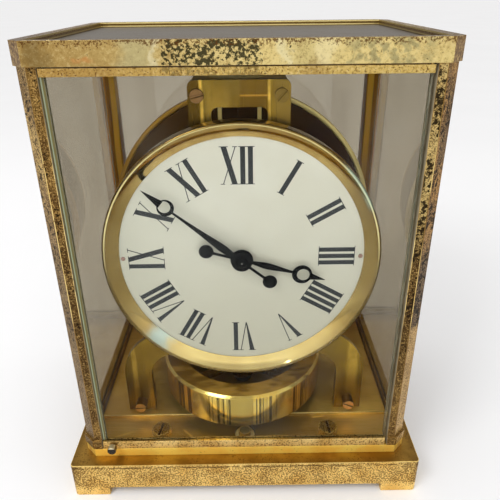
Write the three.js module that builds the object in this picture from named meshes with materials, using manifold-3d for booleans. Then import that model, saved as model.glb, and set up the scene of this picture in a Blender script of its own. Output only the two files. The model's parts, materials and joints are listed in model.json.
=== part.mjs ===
// A glazed brass table clock. A heavy ring hangs on a thin wire and turns slowly to and fro
// under a round drum, whose gas-filled capsule winds the clock as the air warms and cools.
// Millimetres, +Z up, the door faces -Y, and the origin is the middle of the base on the table.
import * as THREE from 'three';
import { mergeVertices } from 'three/addons/utils/BufferGeometryUtils.js';
import Module from 'manifold-3d';

const wasm = await Module();
wasm.setup();

// Clearances and facets
const fit = 0.3;
const cutOver = 1;
const largeRound = 40;
const mediumRound = 20;
const smallRound = 10;
const wireRound = 5;
const plateSteps = 10;
const archSteps = 8;
const cornerSteps = 4;

// Plinth and step
const plinthWidth = 180;
const plinthDepth = 141;
const plinthHeight = 20.9;
const plinthRound = 2;
const plinthWall = 4;
const plinthDeck = 3;
const footHeight = 5.1;
const footLength = 18.5;
const stepInsetX = 6.3;
const stepInsetY = 6.7;
const stepHeight = 5;
const stepChamfer = 5.6;

// Feet and pendulum lock under the deck
const levellingInset = 26;
const levellingRadius = 9;
const levellingLift = 0.4;
const levellingThickness = 4;
const stemRadius = 3;
const bossWall = 3;
const rearFootRadius = 8;
const lockStemRadius = 2;
const lockHeadRadius = 5;
const lockHeadThickness = 1.5;
const lockTravel = 2.4;
const lockCollarThickness = 1.8;
const lockLeverThickness = 2;
const lockLeverWidth = 8;
const lockLeverEndGap = 6;
const lockTabDrop = 7;

// Corner posts and rails
const railProud = 0.3;
const railHeight = 5.3;
const postWidth = 9.4;
const postChamfer = 5.6;
const postSetback = 0.9;
const topRailHeight = 3;
const glassThickness = 2.2;
const glassInset = 2;
const railInside = 2.1;
const grooveDepth = 1.5;

// Lid
const lidProud = 0.3;
const lidHeight = 9;
const lidChamfer = 5.3;
const lidRim = 5;
const lidRecess = 2.6;
const lidLedge = 4;
const topGlassThickness = 3;

// Door
const doorHandleGap = 0.5;
const doorHingeGap = 1.1;
const doorHingeInset = 1.2;
const doorHingeSetback = 1.7;
const doorHingePin = 0.7;
const doorPinLength = 3;
const doorPinSink = 0.8;
const doorFootGap = 0.3;
const doorHeadGap = 0.6;
const doorTopSetback = 0.5;
const knobInset = 5.2;
const knobRadius = 2.2;
const knobLength = 4.2;
const knobHead = 2.8;
const knobNeck = 1.4;

// Bed, legs and front plate
const bedThickness = 2;
const bedFrontSetback = 19.8;
const bedBackSetback = 13.2;
const plateThickness = 3;
const legWidth = 14.5;
const archCentreRise = 24.5;
const shoulderRadius = 27.5;
const archRadius = 13.7;
const plateWaistX = 34;
const plateHeadHeight = 38;
const plateHeadX = 21.9;
const plateHeadroom = 8.9;
const plateRound = 3;
const plateWindowX = 12.2;
const plateWindowDrop = 11.4;
const plateWindowGap = 0.5;
const lugDepth = 7;
const lugHeight = 12;
const lugInset = 1;
const legScrewInset = 7.5;
const legScrewRise = 6.4;
const legScrewHead = 2.95;
const legScrewHeight = 6;
const legScrewLength = 9.7;
const legScrewShank = 1.6;
const slotWidth = 0.9;
const slotDepth = 0.8;
const bedScrewInset = 5.5;
const bedScrewSetback = 8.2;
const bedScrewHead = 5.1;
const bedScrewHeight = 3.7;
const bedScrewShank = 2.5;
const bedScrewSink = 3.5;
const bedSlotWidth = 1.3;
const levelSetback = 8;
const levelRadius = 5.2;
const levelRise = 1.8;
const levelSink = 2;
const levelRim = 0.9;
const levelDish = 0.5;

// Suspension and pendulum
const pendulumX = -1.2;
const pendulumFrontGap = 5.1;
const pendulumRadius = 45;
const pendulumRise = 4.3;
const pendulumHeight = 19.1;
const pendulumSideGap = 5;
const pendulumBand = 11;
const pendulumBevel = 1.3;
const hubRadius = 7;
const hubRise = 4.8;
const hubHeight = 13;
const spokeWidth = 4;
const spokeHeight = 3;
const spokeRise = 5;
const spokeCount = 3;
const firstSpokeTurn = 90;
const fullTurn = 360;
const staffRadius = 3;
const staffBore = 1.2;
const staffRise = 44.55;
const staffGap = 10;
const rollerRadius = 6.5;
const rollerThickness = 1.5;
const rollerPinRadius = 0.6;
const rollerPinLength = 2;
const rollerPinInset = 1.2;
const wireRadius = 0.35;
const wireEndRise = 8;
const bridgeHeight = 8.2;
const bridgeDrop = 1.8;
const bridgeInset = 0.6;
const bridgeReach = 13;
const guardBarX = 8.7;
const guardBarWidth = 1.8;
const guardBarBack = 4;
const guardBarGap = 2.5;
const capRadius = 14;
const capThickness = 1.4;
const capNotchWidth = 3.4;
const capNotchDepth = 1.6;
const bridgeScrewX = 18;
const bridgeScrewDrop = 6.4;
const bridgeScrewHead = 3;
const bridgeScrewHeight = 1.4;
const bridgeScrewLength = 9;

// Drum and capsule
const drumSetback = 14;
const drumBack = 45;
const drumSideGap = 12.2;
const drumFloorGap = 6.75;
const drumHeadroom = 19.05;
const drumWall = 2.2;
const coverRecess = 1;
const coverThickness = 2;
const coverSeat = 2.5;
const studRadius = 3;
const studX = 22;
const studLowDrop = 30;
const studHighRise = 30;
const capsuleSideGap = 14.7;
const capsuleRib = 4;
const capsuleRibs = 4;
const capsuleDepth = 18;
const bellowsPlateThickness = 2;
const bellowsRodRadius = 3;
const bellowsRodLength = 3;

// Dial and hands
const dialThickness = 1;
const dialSetOff = 6.5;
const dialBore = 3.2;
const bezelInset = 4.7;
const bezelSide = 3.7;
const bezelBand = 7;
const bezelDepth = 5;
const bezelLip = 1.5;
const bezelGroove = 0.5;
const bezelLipDrop = 1.1;
const bezelSlopeDrop = 3.4;
const bezelHollow = 0.5;
const carrierBand = 9;
const carrierThickness = 1.5;
const carrierBarHeight = 16;
const carrierPostX = 27;
const carrierPostRadius = 3;
const carrierBore = 8;
const dialScrewInset = 1.6;
const dialScrewHead = 1.1;
const dialScrewHeight = 0.5;
const dialScrewShank = 0.6;
const arborRadius = 1.2;
const pipeRadius = 2.5;
const handThickness = 0.5;
const handGap = 1.4;
const hourHandOff = 2.8;
const hourShape = {
  inset: 16.2, ringInset: 11.6, ringRadius: 4.4, ringBore: 2.9, tail: 17, hubRadius: 5.3,
};
const minuteShape = {
  inset: 1.3, ringInset: 13.2, ringRadius: 4.2, ringBore: 3.2, tail: 16.8, hubRadius: 4.8,
};
const tailRadius = 3.5;
const handRoot = 2.1;
const handNeck = 0.9;
const handPoint = 0.35;
const handCapHeight = 2.2;
const handCapRadius = 2.2;
const hourAngle = 105.7;
const minuteAngle = 309.2;

// Wheels: modules, teeth and layers between the plates
const trainDepth = 12;
const rearPlateThickness = 2;
const rearPlateX = 30;
const rearPlateRise = 38.05;
const rearPlateDrop = 40.95;
const pillarRadius = 2.5;
const pillarInset = 4.5;
const wheelThickness = 1.4;
const motionThickness = 1.1;
const motionGap = 0.6;
const arborThin = 1;
const motionModule = 0.45;
const hourModule = 0.36;
const motionPinionTeeth = 8;
const minuteWheelTeeth = 24;
const hourWheelTeeth = 32;
const trainModule = 0.6;
const trainWheelTeeth = 32;
const trainPinionTeeth = 16;
const barrelModule = 0.7;
const barrelTeeth = 48;
const barrelPinionTeeth = 12;
const barrelDrumInset = 2.2;
const barrelGap = 0.6;
const layerA = 0.6;
const layerB = 3.5;
const layerC = 7.5;
const trainBend = 34;
const motionBend = 225;
const escapeRadius = 8;
const escapeTeeth = 15;
const escapeToothDepth = 1.6;
const escapeLeanShare = 0.8;
const forkGap = 3.4;
const forkReach = 5.2;
const forkArm = 1.5;
const forkPallet = 1.2;
const forkTailBack = 4;
const forkTailThickness = 1.5;
const forkTailWidth = 2.4;

// Levels and places that follow
const stepTop = plinthHeight + stepHeight;
const railTop = stepTop + railHeight;
const bedTop = stepTop + bedThickness;
const stepWidth = plinthWidth - 2 * stepInsetX;
const stepDepth = plinthDepth - 2 * stepInsetY;
const lidWidth = stepWidth;
const lidDepth = stepDepth + 2 * lidProud;
const frameX = stepWidth / 2 + railProud;
const frameY = stepDepth / 2 + railProud;
const postOuterX = frameX - postSetback;
const postOuterY = frameY - postSetback;
const postInnerX = postOuterX - postWidth;
const postInnerY = postOuterY - postWidth;
const glassX = postOuterX - glassInset;
const glassY = postOuterY - glassInset;
const legInnerX = pendulumRadius + pendulumSideGap;
const legOuterX = legInnerX + legWidth;
const pendulumY = pendulumRadius + pendulumFrontGap + glassThickness / 2 - glassY;
const pendulumBottom = bedTop + pendulumRise;
const pendulumTop = pendulumBottom + pendulumHeight;
const hubBottom = bedTop + hubRise;
const drumRadius = glassX - drumSideGap;
const drumInner = drumRadius - drumWall;
const dialCentreZ = pendulumTop + drumFloorGap + drumRadius;
const lidBottom = dialCentreZ + drumRadius + drumHeadroom;
const lidTop = lidBottom + lidHeight;
const glassBottom = railTop - grooveDepth;
const topRailBottom = lidBottom - topRailHeight;
const glassTop = topRailBottom + grooveDepth - fit;
const deckUnder = plinthHeight - plinthDeck;
const plateTop = lidBottom - plateHeadroom;
const plateWaistTop = plateTop - plateHeadHeight;
const archCentreZ = bedTop + archCentreRise;
const staffTop = dialCentreZ + staffRise;
const rearPlateTop = dialCentreZ + rearPlateRise;
const rearPlateBottom = dialCentreZ - rearPlateDrop;
const bezelRadius = drumRadius - bezelInset;
const bezelInner = bezelRadius - bezelBand;
const dialRadius = bezelRadius - bezelSide;
const dialScrewX = bezelInner - dialScrewInset;
const capsuleRadius = drumInner - capsuleSideGap;
const legScrewX = legOuterX - legScrewInset;
const bedScrewX = legInnerX - bedScrewInset;
const rearPlateBack = pendulumY - staffGap;
const rearPlateFront = rearPlateBack - rearPlateThickness;
const plateBack = rearPlateFront - trainDepth;
const plateFront = plateBack - plateThickness;
const bedFront = bedFrontSetback - glassY;
const bedBack = glassY - bedBackSetback;
const bedScrewY = bedScrewSetback - glassY;
const levelY = levelSetback - glassY;
const dialBack = plateFront - dialSetOff;
const dialFront = dialBack - dialThickness;
const bezelFront = dialFront - bezelDepth;
const bridgeTop = plateTop - bridgeDrop;
const bridgeBottom = bridgeTop - bridgeHeight;
const drumFront = pendulumY + drumSetback;
const coverFront = drumFront + coverRecess;
const coverBack = coverFront + coverThickness;
const lockHeadBottom = bedTop + fit;
const lockCollarTop = deckUnder - lockTravel - fit;
const lockCollarBottom = lockCollarTop - lockCollarThickness;
const lockLeverTop = lockCollarBottom - fit;
const lockLeverBottom = lockLeverTop - lockLeverThickness;
const rollerBottom = staffTop - rollerThickness;
const legScrewZ = bedTop + legScrewRise;
const bridgeScrewZ = plateTop - bridgeScrewDrop;
const bossRadius = stemRadius + fit + bossWall;
const bossBottom = levellingLift + levellingThickness + fit;

// Plain solids, as closed geometries
function strip(geometry) {
  const bare = geometry.clone();
  bare.deleteAttribute('normal');
  bare.deleteAttribute('uv');
  const merged = mergeVertices(bare);
  const index = merged.index.array;
  const kept = [];
  for (let i = 0; i < index.length; i += 3) {
    const [a, b, c] = [index[i], index[i + 1], index[i + 2]];
    if (a !== b && b !== c && c !== a) {
      kept.push(a, b, c);
    }
  }
  return { points: merged.attributes.position.array, triangles: kept };
}

function signedVolume({ points, triangles }) {
  const corner = (i) => new THREE.Vector3().fromArray(points, 3 * triangles[i]);
  let sum = 0;
  for (let i = 0; i < triangles.length; i += 3) {
    sum += corner(i).dot(corner(i + 1).cross(corner(i + 2)));
  }
  return sum / 6;
}

function solid(geometry) {
  const bare = strip(geometry);
  const outward = signedVolume(bare) > 0;
  const order = outward ? bare.triangles : bare.triangles.slice().reverse();
  return new wasm.Manifold(new wasm.Mesh({
    numProp: 3,
    vertProperties: new Float32Array(bare.points),
    triVerts: new Uint32Array(order),
  }));
}

function box(x0, x1, y0, y1, z0, z1) {
  const geometry = new THREE.BoxGeometry(x1 - x0, y1 - y0, z1 - z0);
  geometry.translate((x0 + x1) / 2, (y0 + y1) / 2, (z0 + z1) / 2);
  return solid(geometry);
}

// A shape in plan, raised from z0 to z1
function upright(shape, z0, z1) {
  const options = { depth: z1 - z0, bevelEnabled: false, curveSegments: cornerSteps };
  const geometry = new THREE.ExtrudeGeometry(shape, options);
  geometry.translate(0, 0, z0);
  return solid(geometry);
}

// A shape drawn in x and z, as thick as from y0 in front to y1 behind
function facing(shape, y0, y1, steps = cornerSteps) {
  const options = { depth: y1 - y0, bevelEnabled: false, curveSegments: steps };
  const geometry = new THREE.ExtrudeGeometry(shape, options);
  geometry.rotateX(Math.PI / 2);
  geometry.translate(0, y1, 0);
  return solid(geometry);
}

function column(x, y, radius, z0, z1, sides = smallRound) {
  const geometry = new THREE.CylinderGeometry(radius, radius, z1 - z0, sides);
  geometry.rotateX(Math.PI / 2);
  geometry.translate(x, y, (z0 + z1) / 2);
  return solid(geometry);
}

function rod(x, z, radius, y0, y1, sides = smallRound) {
  const geometry = new THREE.CylinderGeometry(radius, radius, y1 - y0, sides);
  geometry.translate(x, (y0 + y1) / 2, z);
  return solid(geometry);
}

// A profile of [radius, place along the axis] pairs, turned about the Y axis
function turnedAcross(profile, sides) {
  const points = [...profile, profile[0]].map(([radius, along]) => new THREE.Vector2(radius, along));
  return solid(new THREE.LatheGeometry(points, sides));
}

// The same about the Z axis
function turnedUpright(profile, sides) {
  const points = [...profile, profile[0]].map(([radius, along]) => new THREE.Vector2(radius, along));
  const geometry = new THREE.LatheGeometry(points, sides);
  geometry.rotateX(Math.PI / 2);
  return solid(geometry);
}

function join(first, ...rest) {
  return rest.reduce((whole, piece) => whole.add(piece), first);
}

function cut(first, ...rest) {
  return rest.reduce((whole, piece) => whole.subtract(piece), first);
}

// Outlines
function outline(points) {
  return new THREE.Shape(points.map(([x, y]) => new THREE.Vector2(x, y)));
}

function chamfered(width, depth, chamfer) {
  const [x, y] = [width / 2, depth / 2];
  return outline([
    [x - chamfer, -y], [x, chamfer - y], [x, y - chamfer], [x - chamfer, y],
    [chamfer - x, y], [-x, y - chamfer], [-x, chamfer - y], [chamfer - x, -y],
  ]);
}

function rounded(x0, x1, y0, y1, radius) {
  const shape = new THREE.Shape();
  shape.absarc(x1 - radius, y0 + radius, radius, -Math.PI / 2, 0);
  shape.absarc(x1 - radius, y1 - radius, radius, 0, Math.PI / 2);
  shape.absarc(x0 + radius, y1 - radius, radius, Math.PI / 2, Math.PI);
  shape.absarc(x0 + radius, y0 + radius, radius, Math.PI, 3 * Math.PI / 2);
  return shape;
}

// Materials
function finish(color, roughness, metalness) {
  return new THREE.MeshStandardMaterial({ color, roughness, metalness });
}
const agedBrass = finish(0xb8923f, 0.45, 1);
const goldBrass = finish(0xd6a443, 0.35, 1);
const postBrass = finish(0x8f7138, 0.5, 1);
const brushedBrass = finish(0xb79a4a, 0.38, 1);
const polishedBrass = finish(0xe0bd62, 0.15, 1);
const copperScrew = finish(0xb0724a, 0.35, 1);
const steel = finish(0xa9a9a4, 0.3, 1);
const darkMirror = finish(0x4a3416, 0.2, 1);
const blackPaint = finish(0x16161a, 0.4, 0);
const dialWhite = finish(0xd9d7cf, 0.6, 0);
const clearGlass = new THREE.MeshStandardMaterial({
  color: 0xdfe6e0, roughness: 0.05, metalness: 0, transparent: true, opacity: 0.2,
});

// A named sub-part in a group, at a place of its own
function part(group, name, shape, material, place = [0, 0, 0]) {
  const mesh = shape.getMesh();
  const geometry = new THREE.BufferGeometry();
  geometry.setAttribute('position', new THREE.BufferAttribute(new Float32Array(mesh.vertProperties), 3));
  geometry.setIndex(new THREE.BufferAttribute(new Uint32Array(mesh.triVerts), 1));
  geometry.computeVertexNormals();
  const piece = new THREE.Mesh(geometry, material);
  piece.name = name;
  piece.position.set(...place);
  group.add(piece);
  return piece;
}

const clock = new THREE.Group();
const movement = new THREE.Group();
const door = new THREE.Group();
clock.add(movement, door);

const sides = [['left', -1], ['right', 1]];
const levellingX = plinthWidth / 2 - levellingInset;
const levellingY = levellingInset - plinthDepth / 2;

// Plinth: hollow, open below and between its corner feet, with bosses for the feet's stems
function basePlinth() {
  const [x, y] = [plinthWidth / 2, plinthDepth / 2];
  const hollowX = x - plinthWall;
  const hollowY = y - plinthWall;
  let shell = cut(
    upright(rounded(-x, x, -y, y, plinthRound), 0, plinthHeight),
    box(-hollowX, hollowX, -hollowY, hollowY, -cutOver, deckUnder),
    box(footLength - x, x - footLength, -y - cutOver, y + cutOver, -cutOver, footHeight),
    box(-x - cutOver, x + cutOver, footLength - y, y - footLength, -cutOver, footHeight),
  );
  for (const [, side] of sides) {
    const centreX = side * levellingX;
    shell = join(shell, column(centreX, levellingY, bossRadius, bossBottom, deckUnder + plinthDeck / 2));
    shell = cut(shell, column(centreX, levellingY, stemRadius + fit, -cutOver, deckUnder + fit));
  }
  return cut(shell, column(pendulumX, pendulumY, lockStemRadius + fit, 0, plinthHeight + cutOver));
}
part(clock, 'base_plinth', basePlinth(), agedBrass);

const doorFront = -frameY;
const doorHingeX = postInnerX - doorHingeGap - doorHingeInset;
const doorHingeY = doorFront + doorHingeSetback;
const doorPinTop = lidBottom + doorPinLength;

// Step: the floor of the case, with holes for the lock, the bed screws, the level and the door's pin
function baseStep() {
  let plate = upright(chamfered(stepWidth, stepDepth, stepChamfer), plinthHeight, stepTop);
  plate = cut(
    plate,
    column(pendulumX, pendulumY, lockStemRadius + fit, 0, stepTop + cutOver),
    column(0, levelY, levelRadius + fit, stepTop - levelSink, stepTop + cutOver, mediumRound),
    column(doorHingeX, doorHingeY, doorHingePin + fit, stepTop - doorPinLength - fit, stepTop + cutOver),
  );
  for (const [, side] of sides) {
    const bottom = stepTop - bedScrewSink - fit;
    plate = cut(plate, column(side * bedScrewX, bedScrewY, bedScrewShank + fit, bottom, stepTop + cutOver));
  }
  return plate;
}
part(clock, 'base_step', baseStep(), goldBrass);

// Feet that screw down in front, and a fixed one behind
for (const [name, side] of sides) {
  const foot = join(
    column(0, 0, levellingRadius, 0, levellingThickness, mediumRound),
    column(0, 0, stemRadius, levellingThickness / 2, deckUnder - levellingLift),
  );
  part(clock, `levelling_foot_${name}`, foot, steel, [side * levellingX, levellingY, levellingLift]);
}
const rearFoot = column(0, 0, rearFootRadius, levellingLift, deckUnder, mediumRound);
part(clock, 'rear_foot', rearFoot, steel, [0, plinthDepth / 2 - levellingInset, 0]);

// The transport lock: a lever under the deck turns about a plunger and lifts it by its collar
const lockLeverReach = plinthDepth / 2 + pendulumY - plinthWall - lockLeverEndGap;
const lever = cut(
  join(
    column(0, 0, lockHeadRadius + fit, lockLeverBottom, lockLeverTop, mediumRound),
    box(-lockLeverWidth / 2, lockLeverWidth / 2, -lockLeverReach, 0, lockLeverBottom, lockLeverTop),
    box(-lockLeverWidth / 2, lockLeverWidth / 2, -lockLeverReach, lockLeverThickness - lockLeverReach,
      lockLeverTop - lockTabDrop, lockLeverTop),
  ),
  column(0, 0, lockStemRadius + fit, 0, plinthHeight),
);
part(clock, 'lock_lever', lever, steel, [pendulumX, pendulumY, 0]);
const plunger = join(
  column(0, 0, lockStemRadius, lockLeverBottom, lockHeadBottom + lockHeadThickness / 2),
  column(0, 0, lockHeadRadius - bossWall / 2, lockCollarBottom, lockCollarTop),
  column(0, 0, lockHeadRadius, lockHeadBottom, lockHeadBottom + lockHeadThickness, mediumRound),
);
part(clock, 'lock_plunger', plunger, steel, [pendulumX, pendulumY, 0]);

// Corner posts, each with its foot block, drawn for the corner at +x +y and turned to the others
function cornerPost() {
  const block = postWidth + postSetback;
  const profile = (size, chamfer) => outline([
    [0, 0], [size, 0], [size, size - chamfer], [size - chamfer, size], [0, size],
  ]);
  return join(
    upright(profile(postWidth, postChamfer), 0, lidBottom - stepTop),
    upright(profile(block, postChamfer), 0, railHeight),
  );
}
const corners = [
  ['post_rear_right', 1, 1, 0],
  ['post_rear_left', -1, 1, 1],
  ['post_front_left', -1, -1, 2],
  ['post_front_right', 1, -1, 3],
];
for (const [name, sideX, sideY, quarterTurns] of corners) {
  const place = [sideX * postInnerX, sideY * postInnerY, stepTop];
  const post = part(clock, name, cornerPost(), postBrass, place);
  post.rotation.z = quarterTurns * Math.PI / 2;
}

// Rails and panes. Each is drawn along X, with the outside of the case towards -Y and its glass at y = 0
const grooveHalf = glassThickness / 2 + fit;
function groove(x0, x1, middle, z0, z1) {
  return box(x0 - cutOver, x1 + cutOver, middle - grooveHalf, middle + grooveHalf, z0, z1);
}
function bottomRail(length) {
  return cut(
    box(-length / 2, length / 2, -glassInset - postSetback, railInside, stepTop, railTop),
    groove(-length / 2, length / 2, 0, glassBottom, railTop + cutOver),
  );
}
function topRail(length) {
  return cut(
    box(-length / 2, length / 2, -glassInset, railInside, topRailBottom, lidBottom),
    groove(-length / 2, length / 2, 0, topRailBottom - cutOver, topRailBottom + grooveDepth),
  );
}
function pane(length) {
  const half = length / 2 - fit;
  return box(-half, half, -glassThickness / 2, glassThickness / 2, glassBottom, glassTop);
}
const walls = [
  ['left', -glassX, 0, -Math.PI / 2, 2 * postInnerY],
  ['right', glassX, 0, Math.PI / 2, 2 * postInnerY],
  ['rear', 0, glassY, Math.PI, 2 * postInnerX],
];
for (const [name, x, y, turn, length] of walls) {
  const wall = new THREE.Group();
  wall.position.set(x, y, 0);
  wall.rotation.z = turn;
  clock.add(wall);
  part(wall, `bottom_rail_${name}`, bottomRail(length), agedBrass);
  part(wall, `top_rail_${name}`, topRail(length), agedBrass);
  part(wall, name === 'rear' ? 'rear_glass' : `side_glass_${name}`, pane(length), clearGlass);
}

// Lid: a band with a recess for the top pane and a ledge under it
function lidFrame() {
  const [x, y] = [lidWidth / 2 - lidRim, lidDepth / 2 - lidRim];
  const seat = lidTop - lidRecess - topGlassThickness;
  return cut(
    upright(chamfered(lidWidth, lidDepth, lidChamfer), lidBottom, lidTop),
    box(-x, x, -y, y, seat, lidTop + cutOver),
    box(lidLedge - x, x - lidLedge, lidLedge - y, y - lidLedge, lidBottom - cutOver, lidTop),
    column(doorHingeX, doorHingeY, doorHingePin + fit, lidBottom - cutOver, doorPinTop + fit),
  );
}
part(clock, 'lid_frame', lidFrame(), agedBrass);
const topGlassX = lidWidth / 2 - lidRim - fit;
const topGlassY = lidDepth / 2 - lidRim - fit;
const topGlass = box(-topGlassX, topGlassX, -topGlassY, topGlassY, 0, topGlassThickness);
part(clock, 'top_glass', topGlass, clearGlass, [0, 0, lidTop - lidRecess - topGlassThickness]);

// Door: two rails, a pane and a knob, turning on pins near the right end
door.position.set(doorHingeX, doorHingeY, 0);
const doorLeft = doorHandleGap - postInnerX - doorHingeX;
const doorBack = railInside - glassY - doorHingeY;
const doorGlassY = -glassY - doorHingeY;
const doorFoot = stepTop + doorFootGap;
const doorHead = lidBottom - doorHeadGap;
const doorTopRailBottom = topRailBottom - doorHeadGap;
const doorGrooveTop = doorTopRailBottom + grooveDepth;
const doorBottomRail = join(
  cut(
    box(doorLeft, doorHingeInset, -doorHingeSetback, doorBack, doorFoot, railTop),
    groove(doorLeft, doorHingeInset, doorGlassY, glassBottom, railTop + cutOver),
  ),
  column(0, 0, doorHingePin, stepTop - doorPinLength, doorFoot + doorPinSink),
);
part(door, 'door_bottom_rail', doorBottomRail, agedBrass);
const doorTopRail = join(
  cut(
    box(doorLeft, doorHingeInset, doorTopSetback - doorHingeSetback, doorBack, doorTopRailBottom, doorHead),
    groove(doorLeft, doorHingeInset, doorGlassY, doorTopRailBottom - cutOver, doorGrooveTop),
  ),
  column(0, 0, doorHingePin, doorHead - doorPinSink, doorPinTop),
);
part(door, 'door_top_rail', doorTopRail, agedBrass);
const doorGlass = box(
  doorLeft + fit, doorHingeInset - fit, doorGlassY - glassThickness / 2, doorGlassY + glassThickness / 2,
  glassBottom, glassTop - doorHeadGap,
);
part(door, 'door_glass', doorGlass, clearGlass);
const knob = join(
  rod(0, 0, knobRadius, -knobLength, knobHead - knobLength),
  rod(0, 0, knobNeck, -knobLength / 2, 0),
);
const knobZ = (doorFoot + railTop) / 2;
part(door, 'door_knob', knob, darkMirror, [doorLeft + knobInset, -doorHingeSetback, knobZ]);

// Bed plate, with a lug behind each leg of the front plate
function movementBed() {
  const reach = glassX - railInside - fit;
  const lugBack = plateBack + lugDepth;
  let bed = box(-reach, reach, bedFront, bedBack, stepTop, bedTop);
  for (const [, side] of sides) {
    const [near, far] = [legInnerX + lugInset, legOuterX - lugInset].map((x) => side * x);
    const [x0, x1] = [Math.min(near, far), Math.max(near, far)];
    bed = join(bed, box(x0, x1, plateBack, lugBack, stepTop + bedThickness / 2, bedTop + lugHeight));
    const through = [plateBack - cutOver, lugBack + cutOver];
    bed = cut(bed, rod(side * legScrewX, legScrewZ, legScrewShank + fit, ...through));
  }
  return cut(bed, column(pendulumX, pendulumY, lockStemRadius + fit, stepTop - cutOver, bedTop + cutOver));
}
part(movement, 'movement_bed', movementBed(), brushedBrass);

// Places of the arbors, as [x, z]
const pitch = (module, first, second) => module * (first + second) / 2;
const motionDistance = pitch(motionModule, motionPinionTeeth, minuteWheelTeeth);
const trainDistance = pitch(trainModule, trainWheelTeeth, trainPinionTeeth);
const barrelDistance = pitch(barrelModule, barrelTeeth, barrelPinionTeeth);
const radians = (degrees) => degrees * Math.PI / 180;
const minuteWheelX = motionDistance * Math.cos(radians(motionBend));
const minuteWheelZ = dialCentreZ + motionDistance * Math.sin(radians(motionBend));
const thirdX = trainDistance * Math.sin(radians(trainBend));
const thirdZ = dialCentreZ + trainDistance * Math.cos(radians(trainBend));
const escapeZ = dialCentreZ + 2 * trainDistance * Math.cos(radians(trainBend));
const barrelZ = dialCentreZ - barrelDistance;
const forkZ = escapeZ + escapeRadius + forkGap;
const thinArbors = [[thirdX, thirdZ], [0, escapeZ], [0, barrelZ], [0, forkZ]];

// Front plate: legs, arch, shoulders, waist and head, with a window and holes for the arbors
function frontPlate() {
  const half = new THREE.Shape();
  half.moveTo(0, bedTop);
  half.lineTo(legOuterX, bedTop);
  half.absarc(legOuterX - shoulderRadius, archCentreZ, shoulderRadius, 0, Math.PI / 2);
  half.lineTo(plateWaistX, archCentreZ + shoulderRadius);
  half.lineTo(plateWaistX, plateWaistTop);
  half.lineTo(plateHeadX, plateWaistTop + plateWaistX - plateHeadX);
  half.absarc(plateHeadX - plateRound, plateTop - plateRound, plateRound, 0, Math.PI / 2);
  half.lineTo(0, plateTop);
  const right = facing(half, plateFront, plateBack, plateSteps);
  let plate = join(right, right.mirror([1, 0, 0]));
  const arch = new THREE.Shape();
  arch.moveTo(-legInnerX, bedTop - cutOver);
  arch.lineTo(legInnerX, bedTop - cutOver);
  arch.absarc(legInnerX - archRadius, archCentreZ, archRadius, 0, Math.PI / 2);
  arch.absarc(archRadius - legInnerX, archCentreZ, archRadius, Math.PI / 2, Math.PI);
  const windowLevels = [staffTop + plateWindowGap, plateTop - plateWindowDrop];
  const window = rounded(-plateWindowX, plateWindowX, ...windowLevels, plateRound);
  const through = [plateFront - cutOver, plateBack + cutOver];
  plate = cut(
    plate,
    facing(arch, ...through, archSteps),
    facing(window, ...through),
    rod(0, dialCentreZ, arborRadius + fit, ...through),
    rod(minuteWheelX, minuteWheelZ, arborThin + fit, ...through),
  );
  for (const [x, z] of thinArbors) {
    plate = cut(plate, rod(x, z, arborThin + fit, ...through));
  }
  for (const [, side] of sides) {
    plate = cut(
      plate,
      rod(side * legScrewX, legScrewZ, legScrewShank + fit, ...through),
      rod(side * bridgeScrewX, bridgeScrewZ, legScrewShank + fit, ...through),
    );
  }
  return plate;
}
part(movement, 'front_plate', frontPlate(), brushedBrass);

// Rear plate with a pillar riveted in at each corner
function rearPlate() {
  const shape = rounded(-rearPlateX, rearPlateX, rearPlateBottom, rearPlateTop, plateRound);
  let plate = facing(shape, rearPlateFront, rearPlateBack);
  const low = rearPlateBottom + pillarInset;
  const high = rearPlateTop - pillarInset;
  const across = rearPlateX - pillarInset;
  for (const [x, z] of [[-across, low], [across, low], [-across, high], [across, high]]) {
    plate = join(plate, rod(x, z, pillarRadius, plateBack, rearPlateFront + rearPlateThickness / 2));
  }
  const through = [rearPlateFront - cutOver, rearPlateBack + cutOver];
  for (const [x, z] of thinArbors) {
    plate = cut(plate, rod(x, z, arborThin + fit, ...through));
  }
  return cut(plate, rod(0, dialCentreZ, arborRadius + fit, ...through));
}
part(movement, 'rear_plate', rearPlate(), brushedBrass);

// A slotted screw along Y, its head in front of y = 0
function screw(head, height, shank, length, turn) {
  const reach = head + cutOver;
  const slot = box(-reach, reach, -height - cutOver, slotDepth - height, -slotWidth / 2, slotWidth / 2);
  return cut(
    join(rod(0, 0, head, -height, 0, mediumRound), rod(0, 0, shank, -height / 2, length)),
    slot.rotate([0, turn, 0]),
  );
}
const legSizes = [legScrewHead, legScrewHeight, legScrewShank, legScrewLength];
const bridgeSizes = [bridgeScrewHead, bridgeScrewHeight, legScrewShank, bridgeScrewLength];
const legSlotTurns = { left: -4, right: 24 };
const bridgeSlotTurns = { left: -14, right: -48 };
for (const [name, side] of sides) {
  const legPlace = [side * legScrewX, plateFront, legScrewZ];
  const legScrew = screw(...legSizes, legSlotTurns[name]);
  part(movement, `leg_screw_${name}`, legScrew, copperScrew, legPlace);
  const bridgePlace = [side * bridgeScrewX, plateFront, bridgeScrewZ];
  const bridgeScrew = screw(...bridgeSizes, bridgeSlotTurns[name]);
  part(movement, `bridge_screw_${name}`, bridgeScrew, copperScrew, bridgePlace);
}

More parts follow.
